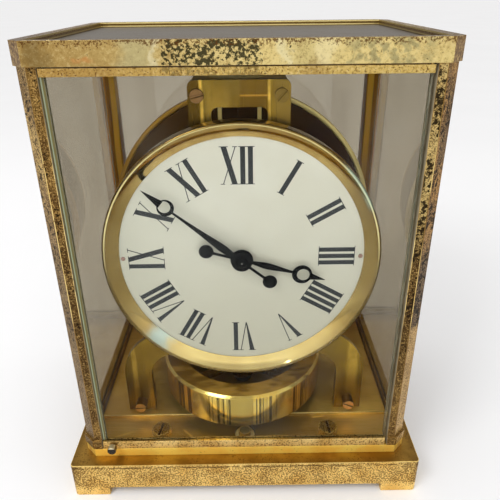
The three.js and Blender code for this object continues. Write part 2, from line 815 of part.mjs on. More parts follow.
// Bed screws and the level, in the floor in front of the bed
for (const [name, side] of sides) {
  const reach = bedScrewHead + cutOver;
  const slotBottom = bedScrewHeight - slotDepth;
  const slot = box(-reach, reach, -bedSlotWidth / 2, bedSlotWidth / 2, slotBottom, bedScrewHeight + cutOver);
  const bedScrew = cut(
    join(
      column(0, 0, bedScrewHead, 0, bedScrewHeight, mediumRound),
      column(0, 0, bedScrewShank, -bedScrewSink, bedScrewHeight / 2),
    ),
    slot,
  );
  part(movement, `bed_screw_${name}`, bedScrew, brushedBrass, [side * bedScrewX, bedScrewY, stepTop]);
}
const level = turnedUpright([
  [0, -levelSink], [levelRadius, -levelSink], [levelRadius, levelRise], [levelRadius - levelRim, levelRise],
  [levelRadius - levelRim, levelRise - levelDish], [0, levelRise - levelDish],
], mediumRound);
part(movement, 'bubble_level', level, polishedBrass, [0, levelY, stepTop]);

// Suspension: a bridge behind the head of the front plate, with two guard bars, and a round cap on it
function suspensionBridge() {
  const across = plateHeadX - bridgeInset;
  const barBack = plateBack + guardBarBack;
  let bridge = box(-across, across, plateBack, pendulumY + bridgeReach, bridgeBottom, bridgeTop);
  for (const [, side] of sides) {
    const x0 = side * guardBarX - guardBarWidth / 2;
    const barTop = bridgeBottom + bridgeHeight / 2;
    const barBottom = staffTop + guardBarGap;
    bridge = join(bridge, box(x0, x0 + guardBarWidth, barBack - guardBarWidth, barBack, barBottom, barTop));
    const hole = [plateBack - cutOver, plateFront + bridgeScrewLength + fit];
    bridge = cut(bridge, rod(side * bridgeScrewX, bridgeScrewZ, legScrewShank + fit, ...hole));
  }
  const wireHole = [bridgeBottom - cutOver, bridgeTop + cutOver];
  return cut(bridge, column(pendulumX, pendulumY, staffBore + fit, ...wireHole));
}
part(movement, 'suspension_bridge', suspensionBridge(), brushedBrass);
const capNotch = [-capNotchWidth / 2, capNotchWidth / 2, -capRadius - cutOver, capNotchDepth - capRadius];
const cap = cut(
  column(0, 0, capRadius, 0, capThickness, largeRound),
  box(...capNotch, -cutOver, capThickness + cutOver),
);
part(movement, 'suspension_cap', cap, polishedBrass, [pendulumX, pendulumY, bridgeTop]);
const wireBottom = hubBottom + wireEndRise;
const wire = column(0, 0, wireRadius, wireBottom, bridgeTop, wireRound);
part(movement, 'torsion_wire', wire, steel, [pendulumX, pendulumY, 0]);

// Pendulum: a heavy bevelled ring, and a hub with spokes and a hollow staff round the wire
const pendulum = new THREE.Group();
pendulum.position.set(pendulumX, pendulumY, 0);
movement.add(pendulum);
const pendulumInner = pendulumRadius - pendulumBand;
const ring = turnedUpright([
  [pendulumInner, pendulumBottom], [pendulumRadius, pendulumBottom],
  [pendulumRadius, pendulumTop - pendulumBevel], [pendulumRadius - pendulumBevel, pendulumTop],
  [pendulumInner, pendulumTop],
], largeRound);
part(pendulum, 'pendulum_ring', ring, polishedBrass);
function pendulumSpider() {
  const spokeBottom = hubBottom + spokeRise;
  const spokeTop = spokeBottom + spokeHeight;
  const pinY = rollerPinInset - rollerRadius;
  const pinBottom = rollerBottom - rollerPinLength;
  let spider = join(
    column(0, 0, hubRadius, hubBottom, hubBottom + hubHeight, mediumRound),
    column(0, 0, staffRadius, hubBottom, staffTop),
    column(0, 0, rollerRadius, rollerBottom, staffTop, mediumRound),
    column(0, pinY, rollerPinRadius, pinBottom, staffTop - rollerThickness / 2, wireRound),
  );
  for (let i = 0; i < spokeCount; i += 1) {
    const spoke = box(0, pendulumInner - fit, -spokeWidth / 2, spokeWidth / 2, spokeBottom, spokeTop);
    spider = join(spider, spoke.rotate([0, 0, firstSpokeTurn + fullTurn * i / spokeCount]));
  }
  return cut(spider, column(0, 0, staffBore, wireBottom - fit, staffTop + cutOver));
}
part(pendulum, 'pendulum_spider', pendulumSpider(), brushedBrass);

// Drum: housing with a bright lip, dark cover on studs, ribbed capsule and its end plate
const drum = new THREE.Group();
drum.position.set(0, 0, dialCentreZ);
movement.add(drum);
const seatInner = drumInner - coverSeat;
const housing = turnedAcross([
  [drumInner, drumFront], [drumRadius, drumFront], [drumRadius, drumBack], [0, drumBack],
  [0, drumBack - drumWall], [drumInner, drumBack - drumWall],
  [drumInner, coverBack + coverThickness], [seatInner, coverBack + coverThickness],
  [seatInner, coverBack], [drumInner, coverBack],
], largeRound);
part(drum, 'drum_housing', housing, brushedBrass);
let cover = rod(0, 0, drumInner - fit, coverFront, coverBack, largeRound);
for (const [, side] of sides) {
  for (const z of [-studLowDrop, studHighRise]) {
    cover = join(cover, rod(side * studX, z, studRadius, rearPlateBack, coverBack - coverThickness / 2));
  }
}
part(drum, 'drum_cover', cover, darkMirror);
function capsuleProfile() {
  const back = drumBack - drumWall;
  const front = back - capsuleDepth;
  const pitchAlong = capsuleDepth / capsuleRibs;
  const edge = [[0, front], [capsuleRadius - capsuleRib, front]];
  for (let i = 0; i < capsuleRibs; i += 1) {
    edge.push([capsuleRadius, front + i * pitchAlong + pitchAlong / 2]);
    edge.push([capsuleRadius - capsuleRib, front + i * pitchAlong + pitchAlong]);
  }
  return [...edge, [0, back]];
}
part(drum, 'bellows_capsule', turnedAcross(capsuleProfile(), mediumRound), polishedBrass);
const bellowsBack = drumBack - drumWall - capsuleDepth - fit;
const bellowsFront = bellowsBack - bellowsPlateThickness;
const bellowsPlate = join(
  rod(0, 0, capsuleRadius, bellowsFront, bellowsBack, mediumRound),
  rod(0, 0, bellowsRodRadius, bellowsFront - bellowsRodLength, bellowsFront + bellowsPlateThickness / 2),
);
part(drum, 'bellows_plate', bellowsPlate, steel);

// Dial carrier, dial, bezel and dial screws, about the centre arbor
const dial = new THREE.Group();
dial.position.set(0, 0, dialCentreZ);
movement.add(dial);
function dialCarrier() {
  const front = dialBack;
  const back = dialBack + carrierThickness;
  const through = [front - cutOver, back + cutOver];
  const reach = dialRadius - carrierBand / 2;
  let carrier = cut(
    rod(0, 0, dialRadius, front, back, largeRound),
    rod(0, 0, dialRadius - carrierBand, ...through, largeRound),
  );
  carrier = join(carrier, box(-reach, reach, front, back, -carrierBarHeight / 2, carrierBarHeight / 2));
  carrier = cut(carrier, rod(0, 0, carrierBore, ...through, mediumRound));
  for (const [, side] of sides) {
    const post = rod(side * carrierPostX, 0, carrierPostRadius, front + carrierThickness / 2, plateFront);
    carrier = join(carrier, post);
    carrier = cut(carrier, rod(side * dialScrewX, 0, dialScrewShank + fit, ...through, wireRound));
  }
  return carrier;
}
part(dial, 'dial_carrier', dialCarrier(), brushedBrass);
function dialPlate() {
  const through = [dialFront - cutOver, dialBack + cutOver];
  let face = cut(rod(0, 0, dialRadius, dialFront, dialBack, largeRound), rod(0, 0, dialBore, ...through));
  for (const [, side] of sides) {
    face = cut(face, rod(side * dialScrewX, 0, dialScrewShank + fit, ...through, wireRound));
  }
  return face;
}
part(dial, 'dial_plate', dialPlate(), dialWhite);
const lipInner = bezelRadius - bezelLip;
const bezelBack = dialBack + carrierThickness;
const slopeMid = (lipInner + bezelInner) / 2;
const bezelSeat = dialRadius + fit;
const bezel = turnedAcross([
  [bezelSeat, bezelBack], [bezelRadius, bezelBack], [bezelRadius, bezelFront + bezelLip / 2],
  [bezelRadius - bezelLip / 2, bezelFront], [lipInner, bezelFront + bezelGroove],
  [lipInner, bezelFront + bezelLipDrop],
  [slopeMid, bezelFront + (bezelLipDrop + bezelSlopeDrop) / 2 + bezelHollow],
  [bezelInner, bezelFront + bezelSlopeDrop + bezelHollow],
  [bezelInner, dialFront - fit], [bezelSeat, dialFront - fit],
], largeRound);
part(dial, 'dial_bezel', bezel, polishedBrass);
for (const [name, side] of sides) {
  const dialScrew = join(
    rod(0, 0, dialScrewHead, dialFront - dialScrewHeight, dialFront),
    rod(0, 0, dialScrewShank, dialFront - dialScrewHeight / 2, bezelBack, wireRound),
  );
  part(dial, `dial_screw_${name}`, dialScrew, copperScrew, [side * dialScrewX, 0, 0]);
}

// Toothed wheels, drawn with tapered teeth that leave plenty of backlash. A tooth points along 'phase'
const toothRootShare = 0.3;
const toothTipShare = 0.1;
const addendumShare = 0.8;
const dedendumShare = 1;
function gear(teeth, module, y0, y1, phase = 0) {
  const root = module * (teeth / 2 - dedendumShare);
  const tip = module * (teeth / 2 + addendumShare);
  const step = 2 * Math.PI / teeth;
  const tooth = [
    [root, -toothRootShare], [tip, -toothTipShare], [tip, toothTipShare], [root, toothRootShare],
  ];
  const points = [];
  for (let i = 0; i < teeth; i += 1) {
    const middle = phase + i * step;
    for (const [radius, share] of tooth) {
      const angle = middle + share * step;
      points.push([radius * Math.cos(angle), radius * Math.sin(angle)]);
    }
  }
  return facing(outline(points), y0, y1);
}
// The phase that puts a gap of a wheel opposite the tooth of its partner, which lies towards 'angle'
const gapTowards = (angle, teeth) => angle + Math.PI / teeth;

const layerFront = (layer) => plateBack + layer;
const layerBack = (layer) => plateBack + layer + wheelThickness;
const arborFront = plateFront + fit;
const arborBack = rearPlateBack - fit;
const thirdAngle = Math.PI / 2 - radians(trainBend);

// Centre arbor: train wheel, pinion for the barrel, cannon pinion, and the seat of the minute hand
const motionFront = plateFront - motionThickness - motionGap;
const hourLayerFront = motionFront - motionGap / 2 - motionThickness;
const hourHandBack = dialFront - hourHandOff;
const hourHandFront = hourHandBack - handThickness;
const minuteHandBack = hourHandFront - handGap;
const minuteHandFront = minuteHandBack - handThickness;
const handCapFront = minuteHandFront - handCapHeight;
const centreArbor = join(
  rod(0, 0, arborRadius, minuteHandBack, arborBack),
  gear(motionPinionTeeth, motionModule, motionFront, plateFront - motionGap / 2, radians(motionBend)),
  gear(trainWheelTeeth, trainModule, layerFront(layerA), layerBack(layerA), thirdAngle),
  gear(barrelPinionTeeth, barrelModule, layerFront(layerB), layerBack(layerB), -Math.PI / 2),
);
part(dial, 'centre_arbor', centreArbor, steel);

const towardsCentre = radians(motionBend) + Math.PI;
const minuteWheelPhase = gapTowards(towardsCentre, minuteWheelTeeth);
const minuteWheel = join(
  rod(0, 0, arborThin, hourLayerFront, plateBack - fit),
  gear(minuteWheelTeeth, motionModule, motionFront, motionFront + motionThickness, minuteWheelPhase),
  gear(motionPinionTeeth, hourModule, hourLayerFront, motionFront + motionThickness / 2, towardsCentre),
);
part(movement, 'minute_wheel', minuteWheel, brushedBrass, [minuteWheelX, 0, minuteWheelZ]);

const barrelGearFront = layerFront(layerB);
const barrelDrumRadius = barrelModule * barrelTeeth / 2 - barrelDrumInset;
const barrel = join(
  gear(barrelTeeth, barrelModule, barrelGearFront, layerBack(layerB), gapTowards(Math.PI / 2, barrelTeeth)),
  rod(0, 0, barrelDrumRadius, barrelGearFront + wheelThickness / 2, rearPlateFront - barrelGap, mediumRound),
  rod(0, 0, arborThin, arborFront, arborBack),
);
part(movement, 'barrel', barrel, brushedBrass, [0, 0, barrelZ]);

const escapeAngle = Math.PI / 2 + radians(trainBend);
const thirdPinionPhase = gapTowards(thirdAngle + Math.PI, trainPinionTeeth);
const thirdWheel = join(
  rod(0, 0, arborThin, arborFront, arborBack),
  gear(trainPinionTeeth, trainModule, layerFront(layerA), layerBack(layerA), thirdPinionPhase),
  gear(trainWheelTeeth, trainModule, layerFront(layerC), layerBack(layerC), escapeAngle),
);
part(movement, 'third_wheel', thirdWheel, brushedBrass, [thirdX, 0, thirdZ]);

function escapeOutline() {
  const points = [];
  const step = 2 * Math.PI / escapeTeeth;
  const rootRadius = escapeRadius - escapeToothDepth;
  for (let i = 0; i < escapeTeeth; i += 1) {
    const rootAngle = i * step;
    const tipAngle = rootAngle + escapeLeanShare * step;
    points.push([rootRadius * Math.cos(rootAngle), rootRadius * Math.sin(rootAngle)]);
    points.push([escapeRadius * Math.cos(tipAngle), escapeRadius * Math.sin(tipAngle)]);
  }
  return outline(points);
}
const escapePinionPhase = gapTowards(escapeAngle + Math.PI, trainPinionTeeth);
const escapeWheel = join(
  rod(0, 0, arborThin, arborFront, arborBack),
  gear(trainPinionTeeth, trainModule, layerFront(layerC), layerBack(layerC), escapePinionPhase),
  facing(escapeOutline(), layerFront(layerB), layerBack(layerB)),
);
part(movement, 'escape_wheel', escapeWheel, polishedBrass, [0, 0, escapeZ]);

// Fork: an arm with two pallets over the escape wheel, and a tail behind the rear plate, under the roller
const forkTop = rollerBottom - rollerPinLength - fit - forkZ;
const tailBack = rearPlateBack + forkTailBack;
const tailHalf = forkTailWidth / 2;
const palletLayer = [layerFront(layerB), layerBack(layerB)];
const fork = join(
  rod(0, 0, arborThin, arborFront, tailBack),
  box(-forkReach, forkReach, ...palletLayer, -forkArm / 2, forkArm / 2),
  box(-forkReach, forkPallet - forkReach, ...palletLayer, -forkArm, 0),
  box(forkReach - forkPallet, forkReach, ...palletLayer, -forkArm, 0),
  box(-tailHalf, tailHalf, tailBack - forkTailThickness, tailBack, -forkArm, forkTop),
);
part(movement, 'pallet_fork', fork, steel, [0, 0, forkZ]);

// Hands, drawn pointing up at twelve: a tapering leaf with a ring behind its point, and a round tail
function hand(size, y0, y1) {
  const { ringRadius, ringBore, tail } = size;
  const length = bezelInner - size.inset;
  const ringAt = length - size.ringInset;
  const blade = outline([
    [-handRoot, 0], [-handNeck, -tail], [handNeck, -tail], [handRoot, 0],
    [handNeck, ringAt], [handPoint, length], [-handPoint, length], [-handNeck, ringAt],
  ]);
  return cut(
    join(
      facing(blade, y0, y1),
      rod(0, 0, size.hubRadius, y0, y1, mediumRound),
      rod(0, -tail, tailRadius, y0, y1, mediumRound),
      rod(0, ringAt, ringRadius, y0, y1, mediumRound),
    ),
    rod(0, ringAt, ringBore, y0 - cutOver, y1 + cutOver, mediumRound),
  );
}
const hourGearPhase = gapTowards(radians(motionBend), hourWheelTeeth) + radians(hourAngle);
const hourHand = cut(
  join(
    hand(hourShape, hourHandFront, hourHandBack),
    rod(0, 0, pipeRadius, hourHandFront, hourLayerFront + motionThickness, mediumRound),
    gear(hourWheelTeeth, hourModule, hourLayerFront, hourLayerFront + motionThickness, hourGearPhase),
  ),
  rod(0, 0, arborRadius + fit, hourHandFront - cutOver, plateFront),
);
const hourPiece = part(dial, 'hour_hand', hourHand, blackPaint);
hourPiece.rotation.y = radians(hourAngle);
const minuteHand = join(
  hand(minuteShape, minuteHandFront, minuteHandBack),
  rod(0, 0, handCapRadius, handCapFront, minuteHandFront + handThickness / 2),
);
const minutePiece = part(dial, 'minute_hand', minuteHand, blackPaint);
minutePiece.rotation.y = radians(minuteAngle);

export default clock;
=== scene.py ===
"""Looks of the glazed brass table clock, in metres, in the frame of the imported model."""
import json
import math

import bmesh
import bpy
from mathutils import Matrix, Vector


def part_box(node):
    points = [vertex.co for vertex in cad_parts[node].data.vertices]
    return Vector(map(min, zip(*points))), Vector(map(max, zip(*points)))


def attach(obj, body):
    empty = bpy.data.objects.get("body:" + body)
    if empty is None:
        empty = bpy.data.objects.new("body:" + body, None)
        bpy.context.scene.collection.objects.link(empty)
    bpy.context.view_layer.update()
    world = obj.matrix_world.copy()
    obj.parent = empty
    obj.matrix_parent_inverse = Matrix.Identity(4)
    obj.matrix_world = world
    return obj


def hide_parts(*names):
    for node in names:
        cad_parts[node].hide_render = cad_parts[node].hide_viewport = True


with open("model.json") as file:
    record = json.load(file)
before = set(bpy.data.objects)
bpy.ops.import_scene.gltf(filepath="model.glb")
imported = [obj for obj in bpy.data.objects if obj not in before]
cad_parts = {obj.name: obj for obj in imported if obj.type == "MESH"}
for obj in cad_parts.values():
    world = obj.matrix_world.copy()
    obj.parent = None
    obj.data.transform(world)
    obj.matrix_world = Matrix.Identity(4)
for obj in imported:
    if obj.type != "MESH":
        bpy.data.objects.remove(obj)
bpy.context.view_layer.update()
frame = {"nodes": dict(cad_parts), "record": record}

MM = 0.001
X_AXIS = Vector((1, 0, 0))
Y_AXIS = Vector((0, 1, 0))
Z_AXIS = Vector((0, 0, 1))

# Facets and edges of the detailed pieces
ROUND_SIDES = 160
SMALL_SIDES = 48
SMOOTH_ANGLE = math.radians(32)
BEVEL_ANGLE = math.radians(30)
FLAT_ANGLE = math.radians(1)
MERGE_REACH = 0.002 * MM
THIN_EDGE = 0.1 * MM
RING_EDGE = 0.2 * MM
FINE_EDGE = 0.25 * MM
DRUM_EDGE = 0.3 * MM
SOFT_EDGE = 0.5 * MM
CAST_EDGE = 0.9 * MM
LID_EDGE = 1.2 * MM
POST_EDGE = 0.3 * MM

# Bodies and places, read from the frame
BODY_OF = {
    node: body
    for body, nodes in frame["record"]["behaviour"]["bodies"].items()
    for node in nodes
}
SLOT_OF = {part["node"]: part["material_slot"] for part in frame["record"]["subparts"]}


def low(node):
    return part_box(node)[0]


def high(node):
    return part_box(node)[1]


def middle(node):
    return (low(node) + high(node)) / 2


# Camera, solved from the photograph's edges
CAMERA_PLACE = Vector((2.8, -265.8, 238.8)) * MM
CAMERA_YAW = math.radians(0.27)
CAMERA_PITCH = math.radians(-26.07)
CAMERA_ROLL = math.radians(-0.61)
CAMERA_FOCAL_PIXELS = 528.1
CAMERA_CLIP = 10 * MM
FRAME_PIXELS = 500
SENSOR_WIDTH = 36


def add_camera():
    data = bpy.data.cameras.new("camera")
    data.sensor_width = SENSOR_WIDTH
    data.lens = CAMERA_FOCAL_PIXELS * SENSOR_WIDTH / FRAME_PIXELS
    data.clip_start = CAMERA_CLIP
    camera = bpy.data.objects.new("camera", data)
    forward = Vector((
        math.sin(CAMERA_YAW) * math.cos(CAMERA_PITCH),
        math.cos(CAMERA_YAW) * math.cos(CAMERA_PITCH),
        math.sin(CAMERA_PITCH),
    ))
    level_right = forward.cross(Z_AXIS).normalized()
    level_up = level_right.cross(forward)
    right = level_right * math.cos(CAMERA_ROLL) + level_up * math.sin(CAMERA_ROLL)
    up = level_up * math.cos(CAMERA_ROLL) - level_right * math.sin(CAMERA_ROLL)
    turn = Matrix((right, up, -forward)).transposed()
    camera.matrix_world = Matrix.Translation(CAMERA_PLACE) @ turn.to_4x4()
    bpy.context.scene.collection.objects.link(camera)
    bpy.context.scene.camera = camera


def colour(red, green, blue):
    """A colour written as 0 to 255, as linear light by the standard curve."""
    channels = []
    for value in (red, green, blue):
        share = value / 255
        channels.append(share / 12.92 if share <= 0.04045 else ((share + 0.055) / 1.055) ** 2.4)
    return (*channels, 1)


class Graph:
    """Short calls that add shader nodes to a tree. A colour is a socket or three numbers up to 255."""

    def __init__(self, tree):
        self.tree = tree
        self.coordinates = tree.nodes.new("ShaderNodeTexCoord").outputs
        self.place = self.coordinates["Object"]

    def put(self, target, value):
        if isinstance(value, bpy.types.NodeSocket):
            self.tree.links.new(value, target)
        elif target.type == "RGBA":
            target.default_value = colour(*value)
        else:
            target.default_value = value

    def math(self, operation, first, second=0.0, third=0.0):
        node = self.tree.nodes.new("ShaderNodeMath")
        node.operation = operation
        for target, value in zip(node.inputs, (first, second, third)):
            self.put(target, value)
        return node.outputs[0]

    def add(self, first, *others):
        for other in others:
            first = self.math("ADD", first, other)
        return first

    def times(self, first, *others):
        for other in others:
            first = self.math("MULTIPLY", first, other)
        return first

    def less(self, first, second):
        return self.math("SUBTRACT", first, second)

    def other_than(self, share):
        return self.less(1.0, share)

    def absolute(self, value):
        return self.math("ABSOLUTE", value)

    def length(self, first, second):
        return self.math("SQRT", self.add(self.times(first, first), self.times(second, second)))

    def degrees(self, across, ahead):
        return self.times(self.math("ARCTAN2", across, ahead), 180 / math.pi)

    def split(self, vector):
        node = self.tree.nodes.new("ShaderNodeSeparateXYZ")
        self.put(node.inputs[0], vector)
        return tuple(node.outputs)

    def noise(self, size, detail=3.0, roughness=0.55, stretch=(1, 1, 1), distortion=0.0, vector=None):
        """Noise with features of about 'size' metres, longer along an axis with a small stretch."""
        mapping = self.tree.nodes.new("ShaderNodeMapping")
        self.put(mapping.inputs["Vector"], vector or self.place)
        mapping.inputs["Scale"].default_value = stretch
        node = self.tree.nodes.new("ShaderNodeTexNoise")
        self.put(node.inputs["Vector"], mapping.outputs[0])
        for name, number in (("Scale", 1 / size), ("Detail", detail),
                             ("Roughness", roughness), ("Distortion", distortion)):
            node.inputs[name].default_value = number
        return node.outputs["Fac"]

    def drift(self, amount, size, **noise):
        """A smooth shift, by at most half the amount either way."""
        return self.times(self.less(self.noise(size, **noise), 0.5), amount)

    def ease(self, value, start, end, low_value=0.0, high_value=1.0):
        """Goes smoothly from the low to the high value as 'value' goes from start to end."""
        node = self.tree.nodes.new("ShaderNodeMapRange")
        node.interpolation_type = "SMOOTHSTEP"
        self.put(node.inputs["Value"], value)
        for name, number in (("From Min", start), ("From Max", end),
                             ("To Min", low_value), ("To Max", high_value)):
            self.put(node.inputs[name], number)
        return node.outputs[0]

    def near(self, value, centre, half_width, fade):
        """1 within half_width of the centre, fading to 0 over 'fade'."""
        off = self.absolute(self.less(value, centre))
        return self.ease(off, half_width, half_width + fade, 1.0, 0.0)

    def mix(self, share, first, second):
        node = self.tree.nodes.new("ShaderNodeMix")
        node.data_type = "RGBA"
        colours = [socket for socket in node.inputs if socket.type == "RGBA"]
        self.put(node.inputs[0], share)
        self.put(colours[0], first)
        self.put(colours[1], second)
        return [socket for socket in node.outputs if socket.type == "RGBA"][0]

    def fade(self, value, start, end, first, second):
        """Goes from the first to the second colour as 'value' goes from start to end."""
        return self.mix(self.ease(value, start, end), first, second)


class Look(Graph):
    """A material with one Principled shader, and its base colour built up in coats."""

    def __init__(self, name):
        self.material = bpy.data.materials.new(name)
        self.material.use_nodes = True
        super().__init__(self.material.node_tree)
        self.shader = self.tree.nodes["Principled BSDF"]
        normal = self.tree.nodes.new("ShaderNodeNewGeometry").outputs["True Normal"]
        self.x, self.y, self.z = self.split(self.place)
        self.normal_x, self.normal_y, self.normal_z = self.split(normal)

    def set(self, **values):
        for name, value in values.items():
            self.put(self.shader.inputs[name.replace("_", " ")], value)
        return self

    def lay(self, base):
        """Starts the base colour."""
        self.base = base
        return self.set(Base_Color=base)

    def paint(self, tone, *shares):
        """Lays a tone over the base colour, by the product of the shares."""
        return self.lay(self.mix(self.times(*shares), self.base, tone))

    def bump(self, height, distance, strength):
        node = self.tree.nodes.new("ShaderNodeBump")
        node.inputs["Distance"].default_value = distance
        node.inputs["Strength"].default_value = strength
        self.put(node.inputs["Height"], height)
        self.put(self.shader.inputs["Normal"], node.outputs[0])

    def facing(self, part, sign=1):
        """1 on faces whose normal has a large part with that sign."""
        return self.ease(self.times(part, sign), 0.3, 0.8)

    def corner(self, start=0.15, end=0.4):
        """1 on upright faces that slant between the X and Y directions."""
        return self.ease(self.absolute(self.times(self.normal_x, self.normal_y)), start, end)

    def specks(self, size, cover, softness=0.05):
        """Small irregular spots; 'cover' is about the share of the surface that they take."""
        fine = self.noise(size, detail=4, roughness=0.65)
        bare = self.other_than(cover)
        level = self.math("MULTIPLY_ADD", bare, 0.25, 0.375)
        level = self.math("MULTIPLY_ADD", self.math("POWER", bare, 8.0), 0.15, level)
        return self.ease(fine, self.less(level, softness), self.add(level, softness))

    def grain(self, size, base, share, dark, light):
        """Fine mottling of a colour."""
        fine = self.noise(size, detail=5, roughness=0.7)
        base = self.mix(self.ease(fine, 0.5, 0.64, 0.0, share), base, light)
        return self.mix(self.ease(fine, 0.5, 0.36, 0.0, share), base, dark)


# Metals
PATCH_SIZE = 14 * MM
DARK_SPECK = (104, 70, 34)
TARNISH = (38, 39, 26)
BRUSHED_ALONG_X = (0.02, 1, 1)
BRUSHED_UP = (1, 1, 0.02)
FLOOR_BRUSHED = (0.03, 1, 1)
LONG_UP = (1, 1, 0.4)


def worn_brass(look, marks, roughness, speck_depth=0.03 * MM):
    """Finishes old lacquered brass with rough sunken marks; 'marks' is 1 where the lacquer has gone."""
    look.roughness = look.ease(marks, 0.0, 1.0, roughness, roughness + 0.3)
    look.bump(marks, -speck_depth, 0.4)
    return look.set(Metallic=1.0, Roughness=look.roughness)


def lid_brass(name, left, right, speck_cover, tarnish_share, smudge_share):
    """Band of the lid, or the rail under it: smudges, a tarnished patch left of the middle, and painted shade
    with painted highlight lines in the recess of the glass.
    """
    look = Look(name)
    front = look.times(look.facing(look.normal_y, -1), look.ease(look.y, -58 * MM, -60 * MM))
    drift = look.drift(14 * MM, 6 * MM, detail=4)
    wavy_x = look.add(look.x, drift)
    wavy_z = look.add(look.z, look.times(drift, 0.4))
    look.lay(look.fade(look.x, -75 * MM, 20 * MM, left, right))
    look.paint((158, 124, 66), look.ease(look.noise(PATCH_SIZE, detail=4), 0.45, 0.7, 0.0, 0.5))
    grain_share = look.ease(look.x, -45 * MM, -20 * MM, 0.3, 0.5)
    look.lay(look.grain(1.2 * MM, look.base, grain_share, (132, 98, 48), (228, 208, 150)))
    spotty = look.ease(look.noise(4 * MM, detail=4), 0.42, 0.6)
    low_spots = look.times(look.near(wavy_z, 217.4 * MM, 0.2 * MM, 1.6 * MM), spotty)
    # Smudges: place, half width and fade in millimetres, strength, tone, and where on the band
    smudges = (
        (-73, 1, 6, 0.5, (96, 78, 44), 1.0),
        (-56, 2, 5, 0.5, (206, 136, 76), low_spots),
        (-37, 2, 7, 0.45, (176, 174, 134), 1.0),
        (-31, 0.1, 1.6, 0.4, (232, 226, 190), 1.0),
        (17, 0.2, 2.2, 0.4, (232, 228, 190), 1.0),
        (32, 1, 4, 0.4, (236, 226, 180), 1.0),
        (24, 2, 6, 0.25, (160, 154, 108), 1.0),
        (55, 12, 8, 0.55, (112, 114, 86), spotty),
    )
    for place, half, fade, strength, tone, where in smudges:
        smudge = look.near(wavy_x, place * MM, half * MM, fade * MM)
        look.paint(tone, smudge, where, front, strength * smudge_share)
    blots = look.noise(1.4 * MM, detail=6, roughness=0.66)
    patch = look.near(wavy_x, -10 * MM, 14 * MM, 10 * MM)
    level = look.ease(look.noise(9 * MM), 0.3, 0.7, 0.53, 0.42)
    level = look.add(level, look.ease(patch, 0.0, 1.0, 0.2, 0.0))
    tarnish = look.times(look.ease(blots, level, look.add(level, 0.05)), front, tarnish_share)
    look.paint(TARNISH, tarnish, 0.92)
    top_edge = look.ease(look.z, 220.6 * MM, 223.4 * MM, 0.0, 0.42)
    cover = look.add(look.times(top_edge, look.ease(look.x, -80 * MM, -30 * MM, 0.7, 1.0)), speck_cover)
    specks = look.specks(0.75 * MM, cover)
    look.paint((92, 58, 26), specks, 0.85)
    look.paint(look.grain(1.2 * MM, (134, 102, 56), 0.8, (70, 46, 22), (196, 166, 104)), look.corner())
    # Painted shade on the walls of the glass's recess, with painted highlight lines along its top and its
    # ledge, strongest on the far wall.
    outward = look.add(look.times(look.x, look.normal_x), look.times(look.y, look.normal_y))
    recess = look.ease(outward, -10 * MM, -30 * MM)
    lines = look.add(look.near(look.z, 223.6 * MM, 0.3 * MM, 0.2 * MM),
                     look.near(look.z, 221.9 * MM, 0.2 * MM, 0.2 * MM))
    far_wall = look.ease(look.absolute(look.normal_x), 0.7, 0.3, 0.4, 1.0)
    look.paint(look.mix(look.times(lines, far_wall), (112, 84, 40), (250, 232, 160)), recess, 0.92)
    rim = look.times(look.facing(look.normal_z), look.ease(look.z, 223 * MM, 223.4 * MM))
    look.paint((96, 68, 34), rim, look.ease(look.y, 0.0, -40 * MM, 0.3, 0.75))
    return worn_brass(look, look.math("MAXIMUM", specks, tarnish), 0.3)


def plinth_brass():
    """Cast plinth: dense brown specks on its sides, cleaner feet, darker corners, a smoother top."""
    look = Look("plinth_brass")
    top = look.facing(look.normal_z)
    aside = look.absolute(look.x)
    cloud = look.noise(PATCH_SIZE, detail=4)
    look.lay(look.fade(cloud, 0.35, 0.7, (248, 212, 128), (228, 184, 98)))
    look.paint(look.fade(cloud, 0.35, 0.7, (162, 126, 58), (130, 98, 42)), top)
    feet = look.ease(look.z, 2 * MM, 8 * MM, -0.3, 0.0)
    ends = look.ease(aside, 70 * MM, 86 * MM, 0.0, 0.06)
    waves = look.ease(look.noise(9 * MM), 0.35, 0.65, -0.1, 0.1)
    cover = look.math("MULTIPLY_ADD", top, -0.36, look.add(feet, ends, waves, 0.5))
    specks = look.specks(0.85 * MM, look.math("MAXIMUM", cover, 0.0), 0.04)
    look.paint((108, 76, 36), specks, 0.8)
    wavy_aside = look.add(aside, look.times(look.noise(4 * MM), 6 * MM))
    look.paint((96, 68, 34), look.ease(wavy_aside, 88 * MM, 93 * MM), look.ease(look.z, 4 * MM, 12 * MM), 0.6)
    wavy_z = look.add(look.z, look.times(look.noise(5 * MM, detail=3), 1.6 * MM))
    under_edge = look.near(wavy_z, high("base_plinth").z - 1.0 * MM, 0.2 * MM, 0.5 * MM)
    broken = look.ease(look.noise(4 * MM), 0.38, 0.55)
    look.paint((84, 58, 30), under_edge, look.other_than(top), broken, 0.75)
    worn_brass(look, specks, 0.34)
    return look.set(Roughness=look.math("MAXIMUM", look.roughness, look.times(top, 0.46)))


# Bright streaks painted on the floor inside the case as reflections: start and end in millimetres
FLOOR_REFLECTION_STREAKS = (
    ((-71, -56), (-58, -51)), ((-34, -50), (-27, -57)), ((-72, -22), (-64, -17)), ((36, -43), (45, -42)),
)


